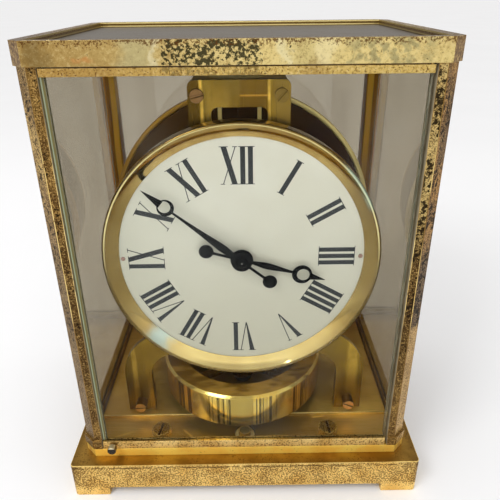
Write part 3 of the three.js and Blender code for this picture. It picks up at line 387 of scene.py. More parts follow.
def shade_floor(look):
    """Paints shade and the drum's dark reflection on the floor round the ring, and a few bright painted
    reflection streaks on it.
    """
    ring = middle("pendulum_ring")
    off_ring = look.length(look.less(look.x, ring.x), look.less(look.y, ring.y))
    wavy_off = look.add(off_ring, look.drift(30 * MM, 22 * MM, detail=3))
    # Painted shade and reflection: darker round the ring.
    look.paint((96, 70, 22), look.ease(wavy_off, 68 * MM, 46 * MM), 0.7)
    # Painted reflections: thin bright streaks.
    for start, end in FLOOR_REFLECTION_STREAKS:
        first = Vector(start) * MM
        second = Vector(end) * MM
        along = (second - first).normalized()
        centre = (first + second) / 2
        half = (second - first).length / 2
        out_x = look.less(look.x, centre.x)
        out_y = look.less(look.y, centre.y)
        on_line = look.add(look.times(out_x, along.x), look.times(out_y, along.y))
        off_line = look.less(look.times(out_x, along.y), look.times(out_y, along.x))
        look.paint((255, 214, 110), look.near(on_line, 0.0, half * 0.4, half * 0.6),
                   look.near(off_line, 0.0, 0.1 * MM, 0.9 * MM), 0.75)
    return look


def bed_brass():
    """Brushed bed plate with the same painted shade round the ring and painted reflection streaks as the
    floor around it.
    """
    return shade_floor(brushed_brass("bed_brass", (255, 216, 108), (228, 182, 78), BRUSHED_ALONG_X, 0.3, 0.6))


def step_brass():
    """Clean orange-gold step; inside the case it is the brushed floor."""
    look = Look("step_brass")
    inside = look.times(look.ease(look.absolute(look.x), 82 * MM, 83 * MM, 1.0, 0.0),
                        look.ease(look.absolute(look.y), 61 * MM, 62 * MM, 1.0, 0.0))
    lines = look.noise(0.5 * MM, detail=2, stretch=FLOOR_BRUSHED)
    look.lay(look.fade(lines, 0.2, 0.8, (222, 180, 92), (240, 198, 108)))
    # Painted shade round the ring and painted reflection streaks on the floor inside the case.
    shade_floor(look)
    outside = look.fade(look.noise(PATCH_SIZE, detail=4), 0.4, 0.7, (255, 226, 112), (255, 206, 88))
    look.paint(outside, look.other_than(inside))
    specks = look.specks(1.2 * MM, look.add(look.times(inside, -0.06), 0.1))
    look.paint(DARK_SPECK, specks, 0.7)
    worn_brass(look, specks, 0.3)
    return look.set(Roughness=look.ease(inside, 0.0, 1.0, 0.3, 0.34), Metallic=0.6)


def post_brass():
    """Corner posts: brown with specks and black spots, darker below; the right ones are paler above."""
    look = Look("post_brass")
    right = look.ease(look.x, -1 * MM, 1 * MM)
    chamfer = look.corner()
    cloud = look.noise(6 * MM, detail=5, roughness=0.6)
    long_cloud = look.noise(8 * MM, detail=4, stretch=(1, 1, 0.3))
    wavy_z = look.add(look.z, look.times(cloud, 30 * MM))
    above_low = look.ease(wavy_z, 85 * MM, 115 * MM)
    dark_part = look.ease(wavy_z, 165 * MM, 140 * MM)
    worn_part = look.ease(look.add(look.z, look.times(cloud, 8 * MM)), 104 * MM, 100 * MM)
    middle_part = look.near(look.add(look.z, look.times(cloud, 20 * MM)), 112 * MM, 34 * MM, 22 * MM)
    look.lay(look.fade(cloud, 0.38, 0.66, (138, 106, 54), (104, 76, 38)))
    pale_face = look.fade(cloud, 0.4, 0.7, (204, 178, 116), (164, 136, 78))
    look.paint(pale_face, right, look.other_than(dark_part))
    look.paint((74, 54, 27), middle_part, 0.72)
    face = look.base
    look.lay(look.fade(long_cloud, 0.4, 0.6, (208, 174, 102), (136, 106, 54)))
    look.paint(look.fade(long_cloud, 0.4, 0.6, (186, 136, 62), (112, 80, 34)), right, above_low)
    look.paint((94, 70, 36), look.other_than(right), dark_part, 0.85)
    look.paint((86, 62, 30), right, dark_part, 0.8)
    look.paint((200, 160, 92), right, worn_part)
    base = look.mix(chamfer, face, look.base)
    look.lay(look.grain(0.7 * MM, base, 0.75, (58, 38, 16), (204, 168, 100)))
    specks = look.specks(0.62 * MM, look.ease(cloud, 0.3, 0.7, 0.26, 0.54), 0.04)
    look.paint((64, 42, 20), specks, 0.8)
    spot_zone = look.times(look.near(look.z, 150 * MM, 52 * MM, 25 * MM),
                           look.ease(right, 0.0, 1.0, 0.55, 1.0),
                           look.ease(look.noise(7 * MM, stretch=LONG_UP), 0.4, 0.56, 0.25, 1.0))
    spots = look.specks(1.7 * MM, look.times(spot_zone, 0.56), 0.03)
    look.paint((36, 27, 14), spots, 0.95)
    worn_brass(look, look.math("MAXIMUM", specks, spots), 0.38, 0.05 * MM)
    return look.set(Metallic=look.ease(chamfer, 0.0, 1.0, 0.85, 0.35), Specular_IOR_Level=0.2)


def speckled_brass(name, light, dark, cover, roughness=0.3, speck_size=1.1 * MM):
    look = Look(name)
    cloud = look.noise(PATCH_SIZE, detail=4)
    look.lay(look.fade(cloud, 0.38, 0.68, light, dark))
    specks = look.specks(speck_size, look.ease(cloud, 0.3, 0.7, cover - 0.08, cover + 0.08))
    look.paint(DARK_SPECK, specks, 0.8)
    return worn_brass(look, specks, roughness)


def post_edge_brass():
    """Edges of the posts: worn bright along the outer corners at hand height, brown elsewhere."""
    look = speckled_brass("post_edge", (252, 224, 148), (222, 184, 106), 0.2, 0.26, 3 * MM)
    hand_height = look.near(look.z, 142 * MM, 30 * MM, 30 * MM)
    patchiness = look.ease(look.noise(12 * MM, stretch=LONG_UP), 0.36, 0.52)
    bright = look.times(look.corner(0.46, 0.4), hand_height, patchiness)
    return look.lay(look.mix(bright, (134, 102, 52), look.base))


def brushed_brass(name, light, dark, stretch, roughness=0.34, metallic=0.85):
    """Clean plate with fine lines along the axis that has the small stretch."""
    look = Look(name)
    lines = look.noise(0.45 * MM, detail=3, roughness=0.7, stretch=stretch)
    broad = look.noise(24 * MM, detail=2)
    share = look.add(look.times(lines, 0.2), look.times(broad, 0.8))
    look.lay(look.fade(share, 0.36, 0.64, dark, light))
    look.bump(lines, 0.003 * MM, 0.2)
    roughness = look.ease(lines, 0.3, 0.7, roughness - 0.03, roughness + 0.05)
    return look.set(Metallic=metallic, Roughness=roughness)


# Bright streaks painted on the front plate as reflections: place and half width in millimetres, lowest and
# highest point, strength
PLATE_REFLECTION_STREAKS = (
    (-16.2, 0.2, 150, 202, 0.85),
    (12.8, 0.15, 150, 202, 0.8),
    (-59.0, 0.6, 45, 75, 0.3),
    (58.5, 1.6, 50, 90, 0.35),
    (-9.0, 3.0, 160, 190, 0.25),
)


def plate_brass():
    """Front plate: brushed brass with painted reflections, as olive and gold fields above and bright streaks
    along its height, and painted shade lower down.
    """
    look = brushed_brass("plate_brass", (160, 128, 50), (128, 98, 34), BRUSHED_UP, 0.3)
    upper = look.ease(look.z, 120 * MM, 160 * MM)
    shade = look.ease(look.noise(14 * MM, detail=3, stretch=LONG_UP), 0.35, 0.65)
    left_field = look.near(look.x, -7.5 * MM, 8 * MM, 0.6 * MM)
    right_field = look.near(look.x, 6.8 * MM, 6.2 * MM, 0.6 * MM)
    # Painted reflections: olive and gold fields on the upper plate and a thin bright line; painted shade on
    # the lower plate.
    look.paint((78, 54, 10), upper, look.ease(look.x, -14 * MM, -18 * MM), 0.8)
    look.paint((118, 104, 50), upper, left_field, shade, 0.5)
    look.paint((106, 74, 20), upper, right_field, 0.6)
    look.paint((138, 112, 58), upper, look.ease(look.x, 14 * MM, 16 * MM), 0.5)
    look.paint((226, 166, 62), right_field, look.near(look.z, 199.5 * MM, 0.1 * MM, 0.5 * MM), 0.6)
    look.paint((84, 62, 18), look.other_than(upper), shade, 0.4)
    # Bright painted reflection streaks, broken up in patches.
    wavy_x = look.add(look.x, look.drift(1.6 * MM, 14 * MM, stretch=(1, 1, 0.6)))
    patchiness = look.ease(look.noise(5 * MM, detail=3), 0.3, 0.6, 0.5, 1.0)
    for place, half, start, end, strength in PLATE_REFLECTION_STREAKS:
        streak = look.near(wavy_x, place * MM, half * MM, half * MM + 0.7 * MM)
        span = look.near(look.z, (start + end) / 2 * MM, (end - start) / 2 * MM, 20 * MM)
        look.paint((255, 206, 92), streak, span, patchiness, strength)
    return look.set(Specular_IOR_Level=0.15)


def polished_brass():
    look = Look("polished_brass")
    look.lay(look.fade(look.noise(9 * MM, detail=3), 0.35, 0.7, (226, 198, 110), (206, 172, 80)))
    scratches = look.noise(0.25 * MM, detail=1, stretch=(1, 1, 0.1))
    return look.set(Metallic=1.0, Roughness=look.ease(scratches, 0.45, 0.75, 0.07, 0.13))


def gold_with_painted_gleams():
    """Inner faces of the rear posts: dark gold with painted reflections, as light and dark vertical streaks
    and two long gleams, the inner one painted brighter above.
    """
    look = Look("inner_gold_painted_gleams")
    inset = look.less(look.absolute(look.x), high("bottom_rail_rear").x)
    inset = look.add(inset, look.drift(4 * MM, 34 * MM, detail=1, stretch=(1, 1, 0.5)))
    streaks = look.noise(2.2 * MM, detail=2, stretch=(1, 1, 0.04), distortion=0.3)
    look.lay(look.fade(streaks, 0.42, 0.56, (92, 56, 6), (176, 118, 20)))
    # Two long painted reflection gleams, the second brighter higher up.
    look.paint((246, 170, 40), look.near(inset, 7.6 * MM, 1.0 * MM, 0.9 * MM), 0.8)
    upper = look.ease(look.z, 105 * MM, 165 * MM, 0.15, 1.0)
    look.paint((255, 200, 62), look.near(inset, 2.2 * MM, 1.2 * MM, 0.9 * MM), upper)
    return look.set(Metallic=0.1, Roughness=0.35, Specular_IOR_Level=0.1)


# Bands of dark stripes, painted reflections, on either side of the ring's front: place and half width in
# degrees
RING_REFLECTION_STRIPES = ((15.5, 7.5), (44, 8))


def ring_brass():
    """Polished ring whose colours round it are painted reflections: darker at the front, bright then darker
    towards its far sides, dark stripes in two bands on either side of the front, and patches on its top.
    """
    look = Look("ring_brass")
    centre = middle("pendulum_ring")
    angle = look.degrees(look.less(look.x, centre.x), look.less(centre.y, look.y))
    off_front = look.absolute(angle)
    turn = look.tree.nodes.new("ShaderNodeCombineXYZ")
    look.put(turn.inputs[0], angle)
    reflection_stripes = look.noise(3.4, detail=2, roughness=0.7, vector=turn.outputs[0])
    bands = look.add(*(look.near(off_front, place, half, 2.0) for place, half in RING_REFLECTION_STRIPES))
    look.lay(look.fade(look.noise(12 * MM, detail=2), 0.35, 0.7, (244, 216, 128), (226, 186, 84)))
    # Painted reflections round the ring: darker at the front, bright beyond about 35 degrees on its side,
    # darker beyond about 55, and the dark stripe bands.
    look.paint((168, 140, 66), look.near(angle, 0.0, 6, 3), 0.75)
    side = look.ease(look.other_than(look.absolute(look.normal_z)), 0.6, 0.95)
    far_side = look.ease(off_front, 34, 38)
    look.paint((255, 200, 84), far_side, side, 0.75)
    look.paint((166, 118, 40), look.ease(off_front, 50, 62), side, 0.8)
    reflection_stripe_tone = look.mix(far_side, (92, 76, 34), (98, 58, 10))
    look.paint(reflection_stripe_tone, look.ease(reflection_stripes, 0.47, 0.53), bands, side, 0.85)
    upward = look.ease(look.normal_z, 0.9, 0.99)
    patches = look.noise(8 * MM, detail=2, stretch=(0.4, 1, 1))
    # Painted reflections on the top face: dark and gold patches.
    look.paint(look.fade(patches, 0.42, 0.6, (156, 112, 36), (232, 178, 74)), upward)
    lines = look.noise(0.25 * MM, detail=1, stretch=(0.05, 0.05, 1))
    look.set(Roughness=look.ease(lines, 0.35, 0.7, 0.12, 0.2))
    return look.set(Metallic=look.ease(upward, 0.0, 1.0, 0.85, 0.3))


def bezel_brass():
    """Turned bezel, browner at its sides, paler low down as a painted reflection of the sky, with a painted
    highlight on the upper lip, painted shade on the lower lip, and a bluish painted sheen low on the left and
    high on the right.
    """
    look = Look("bezel_brass")
    centre = middle("dial_bezel")
    outer = (high("dial_bezel").x - low("dial_bezel").x) / 2
    across = look.less(look.x, centre.x)
    up = look.less(look.z, centre.z)
    radius = look.length(across, up)
    angle = look.degrees(across, up)
    off_top = look.absolute(angle)
    look.lay(look.fade(look.noise(16 * MM, detail=2), 0.35, 0.7, (206, 176, 112), (184, 150, 88)))
    # Paler low down: a painted reflection of the sky on the upward-facing slope.
    look.paint((232, 210, 148), look.ease(off_top, 120, 155), 0.5)
    look.paint((124, 102, 58), look.near(off_top, 85, 15, 40), 0.85)
    # The lip: darker all round, with a painted highlight line on its upper half and painted shade on its
    # lower half.
    rim = look.ease(radius, outer - 1.7 * MM, outer - 1.2 * MM)
    look.paint((112, 88, 42), rim, 0.75)
    upper_side = look.ease(off_top, 110, 70)
    lip_painted_highlight = look.near(radius, outer - 1.1 * MM, 0.15 * MM, 0.25 * MM)
    look.paint((255, 238, 178), lip_painted_highlight, upper_side, 0.85)
    look.paint((84, 64, 32), rim, look.other_than(upper_side), 0.6)
    # Bluish painted sheen: a reflection low on the left of the slope, and high on the right near the lip.
    low_painted_sheen = look.near(look.add(angle, look.times(look.noise(5 * MM), 8.0)), -132, 1, 9)
    look.paint((168, 204, 214), low_painted_sheen, 0.6, look.other_than(rim))
    high_painted_sheen = look.times(look.near(angle, 56, 7, 7), look.ease(radius, outer - 3 * MM, outer - 2 * MM))
    look.paint((190, 220, 206), high_painted_sheen, 0.5)
    return look.set(Metallic=1.0, Roughness=look.ease(look.noise(0.3 * MM, detail=1), 0.3, 0.7, 0.05, 0.09))


def dark_mirror(name):
    """Dark brown metal: warmer on the left, below and behind the plate's window, gold at the back."""
    look = Look(name)
    cloud = look.noise(30 * MM, detail=3, distortion=0.5)
    look.lay(look.fade(cloud, 0.35, 0.65, (86, 58, 26), (72, 48, 36)))
    look.paint((112, 76, 16), look.ease(look.x, 0.0, -30 * MM, 0.0, 0.8))
    look.paint((140, 100, 34), look.ease(look.z, 100 * MM, 80 * MM), 0.8)
    gold = look.fade(cloud, 0.35, 0.65, (206, 164, 78), (170, 130, 56))
    look.paint(gold, look.ease(look.y, 38 * MM, 42 * MM))
    look.paint((112, 70, 28), look.near(look.x, 0.0, 16 * MM, 2 * MM), look.ease(look.y, 0.0, -4 * MM))
    return look.set(Metallic=0.2, Roughness=0.3, Specular_IOR_Level=0.12)


def drum_brass():
    """Dark drum behind the dial with a gold lip, painted brighter towards the right as a highlight."""
    look = dark_mirror("drum_brass")
    front = low("drum_housing").y
    # Gold lip, with a painted highlight that grows towards the right.
    lip = look.ease(look.y, front + 4.4 * MM, front + 3.8 * MM)
    look.paint(look.fade(look.x, -20 * MM, 30 * MM, (196, 148, 58), (255, 232, 156)), lip)
    return look.set(Metallic=look.times(lip, 0.5))


def screw_copper(name, face, side):
    """Screw whose turned face is copper-coloured and whose sides are darker."""
    look = Look(name)
    grain = look.noise(0.8 * MM, detail=3)
    look.lay(look.mix(look.facing(look.normal_y, -1), side, face))
    look.paint(side, look.ease(grain, 0.4, 0.75, 0.0, 0.4))
    return look.set(Metallic=0.85, Roughness=look.ease(grain, 0.3, 0.7, 0.3, 0.4))


def knob_metal():
    """Blackened knob with a painted highlight on its top."""
    look = screw_copper("knob_metal", (34, 33, 31), (120, 100, 66))
    top = high("door_knob").z
    # Painted highlight along the top of the knob.
    return look.paint((252, 240, 200), look.ease(look.z, top - 0.9 * MM, top - 0.5 * MM))


def plain_metal(name, light, dark, roughness):
    look = Look(name)
    grain = look.noise(0.8 * MM, detail=3)
    look.lay(look.fade(grain, 0.35, 0.7, light, dark))
    return look.set(Metallic=1.0, Roughness=look.ease(grain, 0.3, 0.7, roughness, roughness + 0.1))


def level_brass():
    """Level: a flange painted pale, a painted highlight in the ring's shade, with a darker cup on it."""
    look = plain_metal("level_brass", (255, 232, 160), (240, 206, 122), 0.24)
    foot = low("bubble_level").z
    look.paint((186, 142, 54), look.ease(look.z, foot + 1.2 * MM, foot + 1.5 * MM))
    return look.set(Metallic=0.25)


def bed_screw_brass():
    """Large turned screw: dull head with a painted highlight round its rim and painted shade in its slot."""
    look = plain_metal("bed_screw", (184, 146, 72), (146, 114, 52), 0.24)
    centre = middle("bed_screw_right")
    top = high("bed_screw_right").z
    radius = look.length(look.less(look.absolute(look.x), centre.x), look.less(look.y, centre.y))
    # Painted highlight round the rim; painted shade in the slot below.
    look.paint((240, 206, 116), look.near(radius, 4.75 * MM, 0.3 * MM, 0.2 * MM), 0.7)
    look.paint((52, 38, 16), look.ease(look.z, top - 0.3 * MM, top - 0.5 * MM),
               look.ease(radius, 4.6 * MM, 4.3 * MM), 0.75)
    return look.set(Metallic=0.75)


def painted(name, light, dark, roughness, size=8 * MM):
    look = Look(name)
    cloud = look.noise(size, detail=4)
    look.lay(look.fade(cloud, 0.35, 0.7, light, dark))
    return look.set(Metallic=0.0, Roughness=look.ease(cloud, 0.3, 0.7, roughness, roughness + 0.08))


def dial_white():
    """Cream dial, with painted shade that greys it towards its foot and its left."""
    look = Look("dial_white")
    look.lay(look.fade(look.noise(30 * MM, detail=4), 0.35, 0.7, (231, 226, 213), (225, 219, 204)))
    # Painted shade: greyer towards the foot and the left.
    look.paint((196, 190, 172), look.ease(look.z, 180 * MM, 70 * MM, 0.0, 0.9))
    look.paint((206, 203, 187), look.ease(look.x, -10 * MM, -60 * MM, 0.0, 0.4))
    return look.set(Metallic=0.0, Roughness=look.ease(look.noise(0.6 * MM), 0.3, 0.7, 0.42, 0.5))


def glass(name, tint, film, film_share, ior, film_floor=0.0):
    """Old glass: clear, with a thin film of dust in wisps."""
    look = Look(name)
    wisps = look.noise(26 * MM, detail=4, roughness=0.5, stretch=(1, 1, 0.7), distortion=0.4)
    dust = look.noise(1.2 * MM, detail=3, roughness=0.7)
    cover = look.add(look.times(look.ease(wisps, 0.42, 0.75), film_share),
                     look.times(look.ease(dust, 0.55, 0.75), film_floor), film_floor)
    look.cover = look.math("MINIMUM", cover, 0.97)
    look.lay(look.mix(look.cover, tint, film))
    return look.set(Metallic=0.0, Roughness=0.0, IOR=ior, Transmission_Weight=look.other_than(look.cover))


# The door's pane reaches closer to the post than its solid does
PANE_REACH = 0.6 * MM


def door_glass():
    """The door's pane, with a painted reflection of its ground edge: an olive strip with a pale line on its
    left.
    """
    look = glass("door_glass", (248, 251, 248), (170, 168, 160), 0.012, 1.1)
    left = low("door_glass").x - PANE_REACH
    # Painted reflection of the ground edge, seen through the pane's front.
    strip = look.near(look.x, left + 0.9 * MM, 0.9 * MM, 0.2 * MM)
    line = look.near(look.x, left + 0.6 * MM, 0.1 * MM, 0.3 * MM)
    look.paint(look.mix(line, (116, 108, 70), (158, 168, 142)), strip)
    cover = look.math("MAXIMUM", look.cover, look.times(strip, 0.8))
    return look.set(Transmission_Weight=look.other_than(cover))


def dusty_glass():
    """Top pane under a grey film of dust, with paler grains in it."""
    look = glass("dusty_glass", (150, 146, 140), (100, 90, 78), 0.2, 1.15, 0.6)
    look.paint((160, 150, 136), look.specks(1.4 * MM, 0.16), 0.6)
    return look.set(Roughness=0.4)


MATERIALS = {
    "plinth": plinth_brass(),
    "lid": lid_brass("lid_brass", (170, 140, 82), (222, 200, 132), 0.09, 1.0, 1.0),
    "lid_edge": speckled_brass("lid_edge", (250, 226, 150), (190, 150, 84), 0.4, 0.26, 1.3 * MM),
    "door_rail": lid_brass("door_rail_brass", (178, 142, 76), (208, 178, 102), 0.24, 0.55, 0.0),
    "sill": speckled_brass("sill_brass", (232, 202, 132), (206, 168, 96), 0.28, 0.36, 1.0 * MM),
    "rail": speckled_brass("rail_brass", (172, 138, 66), (140, 106, 46), 0.24),
    "step": step_brass(),
    "post": post_brass(),
    "worn_edge": speckled_brass("worn_edge", (248, 218, 138), (226, 186, 100), 0.16, 0.24, 0.9 * MM),
    "post_edge": post_edge_brass(),
    # Pale diffuse grey for the front posts' inner faces: painted light, so that these shaded faces don't
    # render black.
    "inner_face_painted_light": painted("inner_face_painted_light", (160, 148, 122), (142, 130, 104), 0.6),
    "door_edge": glass("door_edge", (180, 182, 160), (150, 146, 126), 0.1, 1.1, 0.8),
    "drum": drum_brass(),
    "gold": gold_with_painted_gleams(),
    "plate": plate_brass(),
    "plain_plate": brushed_brass("plain_plate", (168, 134, 56), (132, 102, 38), BRUSHED_UP, 0.24),
    "bed": bed_brass(),
    # Painted highlight on the bed's bevelled edges, where its front edge catches the light.
    "bed_edge_highlight": plain_metal("bed_edge_highlight", (255, 236, 160), (240, 206, 120), 0.22),
    "ring": ring_brass(),
    "polished": polished_brass(),
    "bezel": bezel_brass(),
    "copper": screw_copper("copper_screw", (255, 196, 122), (118, 88, 42)),
    "dull_copper": screw_copper("dull_copper_screw", (142, 104, 62), (92, 68, 36)),
    "leg_copper": screw_copper("leg_copper_screw", (206, 156, 86), (118, 88, 44)),
    "dial_screw": screw_copper("dial_screw", (166, 132, 120), (120, 96, 86)),
    "bed_screw": bed_screw_brass(),
    "level": level_brass(),
    # Bridge and cap: brass painted very pale and barely metallic, a painted highlight in the shade under the
    # lid.
    "bridge": brushed_brass("bridge_brass_painted_highlight", (255, 234, 150), (246, 206, 110), BRUSHED_ALONG_X, 0.34, 0.1),
    "cap": brushed_brass("cap_brass_painted_highlight", (255, 248, 200), (255, 236, 160), BRUSHED_ALONG_X, 0.3, 0.0),
    "rear_plate": brushed_brass("rear_plate_brass", (158, 132, 72), (126, 102, 50), BRUSHED_UP, 0.3),
    "wire": plain_metal("wire_brass", (116, 86, 48), (86, 60, 30), 0.3),
    "knob": knob_metal(),
    "olive_screw": plain_metal("olive_screw", (140, 114, 58), (118, 92, 42), 0.3),
    "steel": plain_metal("turned_steel", (150, 148, 142), (112, 108, 100), 0.3),
    "dark": dark_mirror("dark_cover"),
    "black": painted("hand_black", (4, 5, 8), (8, 9, 12), 0.5).set(Specular_IOR_Level=0.15),
    "ink": painted("numeral_ink", (36, 38, 42), (50, 52, 55), 0.5, 1.2 * MM),
    "dial": dial_white(),
    "liquid": painted("level_liquid", (96, 78, 34), (128, 104, 50), 0.12, 3 * MM),
    "door_glass": door_glass(),
    "edge": glass("glass_edge", (140, 160, 130), (96, 112, 84), 0.4, 1.45, 0.5),
    "tinted_glass": glass("rear_glass", (172, 160, 141), (164, 152, 134), 0.07, 1.45, 0.02),
    "top_glass": dusty_glass(),
}

# Looks of the record's slots, and of the nodes that have one of their own
SLOT_LOOK = {
    "aged_brass": "rail",
    "gold_brass": "step",
    "post_brass": "post",
    "brushed_brass": "plain_plate",
    "polished_brass": "polished",
    "copper_screw": "copper",
    "steel": "steel",
    "dark_mirror": "dark",
    "black_paint": "black",
    "dial_white": "dial",
    "clear_glass": "tinted_glass",
}
NODE_LOOK = {
    "base_plinth": "plinth",
    "lid_frame": "lid",
    "door_top_rail": "door_rail",
    "door_bottom_rail": "sill",
    "movement_bed": "bed",
    "front_plate": "plate",
    "bridge_screw_left": "dull_copper",
    "bridge_screw_right": "olive_screw",
    "leg_screw_left": "leg_copper",
    "dial_screw_left": "dial_screw",
    "dial_screw_right": "dial_screw",
    "suspension_bridge": "bridge",
    "suspension_cap": "cap",
    "rear_plate": "rear_plate",
    "torsion_wire": "wire",
    "door_knob": "knob",
    "bubble_level": "level",
    "bed_screw_left": "bed_screw",
    "bed_screw_right": "bed_screw",
    "pendulum_ring": "ring",
    "drum_housing": "drum",
    "door_glass": "door_glass",
    "top_glass": "top_glass",
    "dial_bezel": "bezel",
}


# Meshes
def add_material(piece, look):
    """Adds a look to a piece, and returns its place among the piece's materials."""
    piece.data.materials.append(MATERIALS[look].material)
    return len(piece.data.materials) - 1


def add_piece(name, data, node, look=None, slot=None):
    """A piece that rides with a node, in the node's look and slot unless others are given."""
    body = BODY_OF[node]
    slot = slot or SLOT_OF[node]
    piece = bpy.data.objects.new(name, data)
    bpy.context.scene.collection.objects.link(piece)
    piece.data.materials.clear()
    add_material(piece, look or NODE_LOOK.get(node, SLOT_LOOK[slot]))
    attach(piece, body)
    return piece


def finish_edges(piece, width, segments=2, edge_look=None):
    """Rounds the sharp edges; wide faces stay flat in the shading and round ones smooth."""
    bpy.context.view_layer.objects.active = piece
    for other in bpy.context.selected_objects:
        other.select_set(False)
    piece.select_set(True)
    if width > 0:
        bevel = piece.modifiers.new("edges", "BEVEL")
        bevel.width = width
        bevel.segments = segments
        bevel.limit_method = "ANGLE"
        bevel.angle_limit = BEVEL_ANGLE
        if edge_look:
            bevel.material = add_material(piece, edge_look)
        bpy.ops.object.modifier_apply(modifier=bevel.name)
    bpy.ops.object.shade_smooth_by_angle(angle=SMOOTH_ANGLE)
    if width > 0:
        even = piece.modifiers.new("flat_faces", "WEIGHTED_NORMAL")
        even.keep_sharp = True
        bpy.ops.object.modifier_apply(modifier=even.name)


def dressed_copy(node, width, edge_look=None):
    """A copy of a CAD node with merged flat faces and rounded edges, in place of the node."""
    source = frame["nodes"][node]
    data = source.data.copy()
    data.name = node + "_look"
    form = bmesh.new()
    form.from_mesh(data)
    bmesh.ops.remove_doubles(form, verts=form.verts, dist=MERGE_REACH)
    bmesh.ops.dissolve_limit(form, angle_limit=FLAT_ANGLE, verts=form.verts, edges=form.edges)
    bmesh.ops.recalc_face_normals(form, faces=form.faces)
    form.to_mesh(data)
    form.free()
    piece = add_piece(node + "_look", data, node)
    finish_edges(piece, width, edge_look=edge_look)
    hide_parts(node)
    return piece


def closed_mesh(form, name):
    bmesh.ops.recalc_face_normals(form, faces=form.faces)
    data = bpy.data.meshes.new(name)
    form.to_mesh(data)
    form.free()
    return data


def turned_mesh(name, rings, node, axis, sides=ROUND_SIDES):
    """A solid turned about a node's axis: 'rings' are (radius, place on the axis), closed on themselves."""
    centre = middle(node)
    centre -= axis * centre.dot(axis)
    across = Z_AXIS if abs(axis.dot(Z_AXIS)) < 0.5 else X_AXIS
    other = axis.cross(across)
    form = bmesh.new()
    loops = []
    for radius, along in rings:
        place = centre + axis * along
        angles = [2 * math.pi * i / sides for i in range(sides)] if radius > 0 else [0]
        loops.append([
            form.verts.new(place + (across * math.cos(angle) + other * math.sin(angle)) * radius)
            for angle in angles
        ])
    for first, second in zip(loops, loops[1:] + loops[:1]):
        for i in range(sides):
            j = (i + 1) % sides
            if len(first) > 1 and len(second) > 1:
                form.faces.new((first[i], first[j], second[j], second[i]))
            elif len(first) > 1:
                form.faces.new((first[i], first[j], second[0]))
            elif len(second) > 1:
                form.faces.new((first[0], second[j], second[i]))
    return closed_mesh(form, name)


def turned_piece(node, rings, axis, edge=FINE_EDGE, sides=ROUND_SIDES):
    piece = add_piece(node + "_look", turned_mesh(node + "_look", rings, node, axis, sides), node)
    finish_edges(piece, edge)
    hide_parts(node)


def axis_span(node, axis):
    """Start and end of a round node along its axis, and its radius."""
    return low(node).dot(axis), high(node).dot(axis), (high(node).x - low(node).x) / 2


# Every node gets a dressed copy, apart from the ones that are built again with more detail
SIDES = ("left", "right")
POSTS = [f"post_{end}_{side}" for end in ("front", "rear") for side in SIDES]
EDGE_OF = {
    "base_plinth": CAST_EDGE,
    "base_step": SOFT_EDGE,
    "lid_frame": LID_EDGE,
    **dict.fromkeys(POSTS, POST_EDGE),
}
EDGE_LOOK = {
    "base_plinth": "worn_edge",
    "lid_frame": "lid_edge",
    "movement_bed": "bed_edge_highlight",
    **dict.fromkeys(POSTS, "post_edge"),
}
REBUILT_NODES = {
    "bubble_level", "pendulum_ring", "drum_housing", "dial_bezel",
    "dial_plate", "suspension_cap", "hour_hand", "minute_hand",
}

dressed = {}
for node_name in frame["nodes"]:
    if node_name in REBUILT_NODES:
        continue
    edge_width = EDGE_OF.get(node_name, FINE_EDGE)
    if SLOT_OF[node_name] == "clear_glass":
        edge_width = 0
    dressed[node_name] = dressed_copy(node_name, edge_width, EDGE_LOOK.get(node_name))


def pane_edges(node):
    """The rim of a pane is seen through its length, so it is green, and paler on the door."""
    piece = dressed[node]
    rim = add_material(piece, "door_edge" if node == "door_glass" else "edge")
    size = high(node) - low(node)
    thin = min(range(3), key=lambda i: size[i])
    for face in piece.data.polygons:
        if abs(face.normal[thin]) < 0.5:
            face.material_index = rim


def widen_door_glass():
    left_end = low("door_glass").x + 1 * MM
    for vertex in dressed["door_glass"].data.vertices:
        if vertex.co.x < left_end:
            vertex.co.x -= PANE_REACH


# Slots of the large floor screws, turned in degrees from where the solids have them
SCREW_TURNS = {"bed_screw_left": 80, "bed_screw_right": 94}


def turn_screws():
    for node, degrees in SCREW_TURNS.items():
        centre = middle(node)
        turn = Matrix.Rotation(math.radians(degrees), 4, "Z")
        dressed[node].data.transform(Matrix.Translation(centre) @ turn @ Matrix.Translation(-centre))


def inner_post_faces(node, look):
    """The faces of a post that look into the case: gold with painted reflections behind, and in front a dull
    grey like the panes', painted light in their shade.
    """
    piece = dressed[node]
    inner = add_material(piece, look)
    place = middle(node)
    for face in piece.data.polygons:
        inward_x = face.normal.x * place.x < -1e-6 and abs(face.normal.x) > 0.7
        inward_y = face.normal.y * place.y < -1e-6 and abs(face.normal.y) > 0.7
        if inward_x or inward_y:
            face.material_index = inner


# The sill under the pane: how far its front lip and its rear part are lowered, and the latter moved forward
LIP_DROP = 0.2 * MM
SILL_DROP = 1.3 * MM
SILL_SHIFT = 0.8 * MM
# Only a top layer moves; the rear part starts a little in front of the pane's back
SILL_LAYER = 0.6 * MM
REAR_START = 0.3 * MM


def lower_sill():
    layer = high("door_bottom_rail").z - SILL_LAYER
    rear = high("door_glass").y - REAR_START
    for vertex in dressed["door_bottom_rail"].data.vertices:
        if vertex.co.z <= layer:
            continue
        if vertex.co.y > rear:
            vertex.co.z -= SILL_DROP
            vertex.co.y -= SILL_SHIFT
        else:
            vertex.co.z -= LIP_DROP


for pane in ("door_glass", "side_glass_left", "side_glass_right", "rear_glass", "top_glass"):
    pane_edges(pane)
widen_door_glass()
turn_screws()
for side_name in SIDES:
    inner_post_faces(f"post_rear_{side_name}", "gold")
    inner_post_faces(f"post_front_{side_name}", "inner_face_painted_light")
lower_sill()


